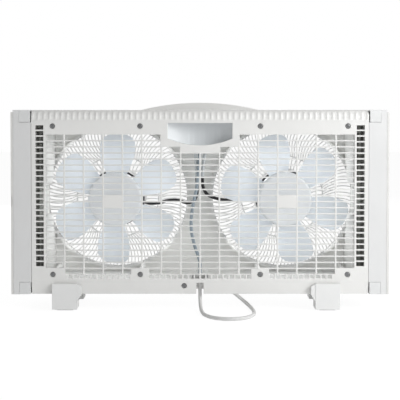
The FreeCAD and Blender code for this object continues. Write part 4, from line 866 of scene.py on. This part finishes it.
def make_plug():
    """A moulded plug with a tapered neck for the cord."""
    low, high = node_box("plug_body")
    middle_x, middle_z = (low.x + high.x) / 2, (low.z + high.z) / 2
    bm = bmesh.new()
    sections = [
        (high.y, 4.0, 4.0), (high.y - 3, 4.6, 4.4), (high.y - 6, 6.5, 5.4), (high.y - 10, 9.5, 6.2),
        (high.y - 14, 10.6, 6.6), (low.y + 7, 11.2, 6.9), (low.y + 3, 11.9, 6.9), (low.y, 11.7, 6.7),
    ]
    rings = []
    for y, half_x, half_z in sections:
        ring = []
        for k in range(40):
            a = 2 * math.pi * k / 40
            c, s = math.cos(a), math.sin(a)
            x = middle_x + half_x * math.copysign(abs(c) ** 0.55, c)
            z = middle_z + half_z * math.copysign(abs(s) ** 0.55, s)
            ring.append(bm.verts.new((x, y, z)))
        rings.append(ring)
    for ring, following in zip(rings, rings[1:]):
        for k in range(40):
            after = (k + 1) % 40
            bm.faces.new((ring[k], ring[after], following[after], following[k]))
    bm.faces.new(rings[0])
    bm.faces.new(rings[-1])
    return piece("moulded_plug", bm, "housing", "cord", ["plug_body"], sharp_deg=60)


def make_strain_relief():
    """A tapered sleeve with grooves round it, and its collar on the floor of the housing."""
    low, high = node_box("strain_relief")
    bm = bmesh.new()
    centre = (low.x + high.x) / 2, (low.y + high.y) / 2
    length = high.z - low.z
    profile = [(CORD_RADIUS - 0.4, low.z)]
    steps = 40
    for k in range(steps + 1):
        share = k / steps
        radius = CORD_RADIUS + 0.9 + 0.8 * share
        ribbed = 0.35 if share < 0.42 and (k % 4 in (1, 2)) else 0.0
        profile.append((radius - ribbed, low.z + length * share))
    profile.append((CORD_RADIUS - 0.4, high.z))
    steps_round = 32
    rings = []
    for radius, z in profile:
        rings.append([
            bm.verts.new((
                centre[0] + radius * math.cos(2 * math.pi * k / steps_round),
                centre[1] + radius * math.sin(2 * math.pi * k / steps_round), z,
            )) for k in range(steps_round)
        ])
    for ring, following in zip(rings, rings[1:]):
        for k in range(steps_round):
            after = (k + 1) % steps_round
            bm.faces.new((ring[k], ring[after], following[after], following[k]))
    bm.faces.new(rings[0])
    bm.faces.new(rings[-1])
    collar_low = FLOOR_LOW + WALL
    add_prism(bm, arc_points(centre, COLLAR_RADIUS, 0, 348.75, 31), collar_low, collar_low + 2, "Z")
    return piece("cord_strain_relief", bm, "housing", "cord", ["strain_relief"], sharp_deg=40)


# ---------------------------------------------------------------- carried-over nodes
ROUNDED_NODES = {
    "front_shell": 0.6, "end_cap": 1.2, "corner_clip": 0.9, "foot_left": 1.4, "foot_right": 1.4,
    "foot_pads": 0.5, "rail_": 0.4, "control_bezel": 0.5, "display_window": 0.3, "button_": 0.25,
    "cord_clamp": 0.6, "cord_tie": 0.2,
    "control_board": 0.2, "motor_cover": 0.5, "motor_housing": 0.5, "front_grille": 0.35, "hub_nut": 0.3,
    "plug_blades": 0.25, "grip_cup": 0.4,
}


def finish_cad_nodes():
    """Every node that stays gets its slot's material and softened edges."""
    slots = {row["node"]: row["material_slot"] for row in frame["record"]["subparts"]}
    for name, node in frame["nodes"].items():
        if node.hide_render:
            continue
        node.data.materials.clear()
        node.data.materials.append(MATERIALS.get(name, MATERIALS[slots[name]]))
        width = next((value for start, value in ROUNDED_NODES.items() if name.startswith(start)), 0)
        weld = node.modifiers.new("weld", "WELD")
        weld.merge_threshold = 0.00001
        if width:
            add_rounding(node, width)


# ---------------------------------------------------------------- stage
def make_stage():
    """A seamless pale floor and soft studio light, brightest from the right."""
    bm = bmesh.new()
    bmesh.ops.create_grid(bm, x_segments=1, y_segments=1, size=6)
    mesh = bpy.data.meshes.new("floor")
    bm.to_mesh(mesh)
    bm.free()
    floor = bpy.data.objects.new("floor", mesh)
    floor.location.z = -0.0002
    bpy.context.scene.collection.objects.link(floor)
    material, tree, shader = new_material("floor_white")
    direct = tree.nodes.new("ShaderNodeLightPath").outputs["Is Camera Ray"]
    tree.links.new(mixed(tree, direct, (0.9, 0.9, 0.9), (0.12, 0.12, 0.12)), shader.inputs["Base Color"])
    shader.inputs["Roughness"].default_value = 0.9
    shader.inputs["Specular IOR Level"].default_value = 0.0
    shader.inputs["Emission Color"].default_value = (1, 1, 1, 1)
    tree.links.new(spread(tree, direct, 0.18, 0.93), shader.inputs["Emission Strength"])
    mesh.materials.append(material)
    world = bpy.data.worlds.new("studio")
    world.use_nodes = True
    world.node_tree.nodes["Background"].inputs["Color"].default_value = (1, 1, 1, 1)
    backdrop = world.node_tree.nodes["Background"]
    seen = world.node_tree.nodes.new("ShaderNodeLightPath").outputs["Is Camera Ray"]
    world.node_tree.links.new(spread(world.node_tree, seen, 0.37, 1.0), backdrop.inputs["Strength"])
    bpy.context.scene.world = world
    bpy.context.scene.view_settings.view_transform = "Standard"
    aim = (0, 0, 0.16)
    lamps = [
        ("key_right", (1.15, -0.8, 0.75), aim, (0.7, 0.7), 15.0),
        ("room_side", (-0.5, 1.5, 0.6), aim, (1.9, 1.9), 17.0),
    ]
    for side, centre in FANS.items():
        opening = (centre.x / METRE, (FRONT - 9) / METRE, centre.z / METRE)
        lamps.append((f"opening_{side}", opening, (opening[0], -1, opening[2]), (0.19, 0.19), 0.165))
    for side, sign in SIDES.items():
        bay = (sign * (SLOT_INNER_X + SLOT[0] / 2) / METRE, BAY_LAMP_Y, FAN_Z / METRE)
        lamps.append((f"bay_{side}", bay, (bay[0], -1, bay[2]), (0.014, 0.22), 0.012))
    for name, place, target, size, power in lamps:
        light = bpy.data.lights.new(name, "AREA")
        light.energy = power
        light.shape = "RECTANGLE"
        light.size, light.size_y = size
        lamp = bpy.data.objects.new(name, light)
        lamp.location = place
        lamp.visible_camera = False
        lamp.rotation_euler = (Vector(target) - Vector(place)).to_track_quat("-Z", "Y").to_euler()
        bpy.context.scene.collection.objects.link(lamp)


def make_camera():
    camera = bpy.data.objects.new("camera", bpy.data.cameras.new("camera"))
    camera.data.lens = 83.9
    camera.data.sensor_width = 36
    camera.data.shift_y = -0.158
    camera.location = (0.0, -1.552, 0.32)
    camera.rotation_euler = (math.radians(90 - 1.5), 0, 0)
    bpy.context.scene.collection.objects.link(camera)
    bpy.context.scene.camera = camera


make_rear_cover()
for fan_side, fan_centre in FANS.items():
    make_impeller(fan_side, fan_centre)
for cap_side, cap_sign in SIDES.items():
    make_curtain(cap_side, cap_sign)
make_screws()
cord = make_cord()
plug = make_plug()
relief = make_strain_relief()
finish_cad_nodes()
make_stage()
make_camera()
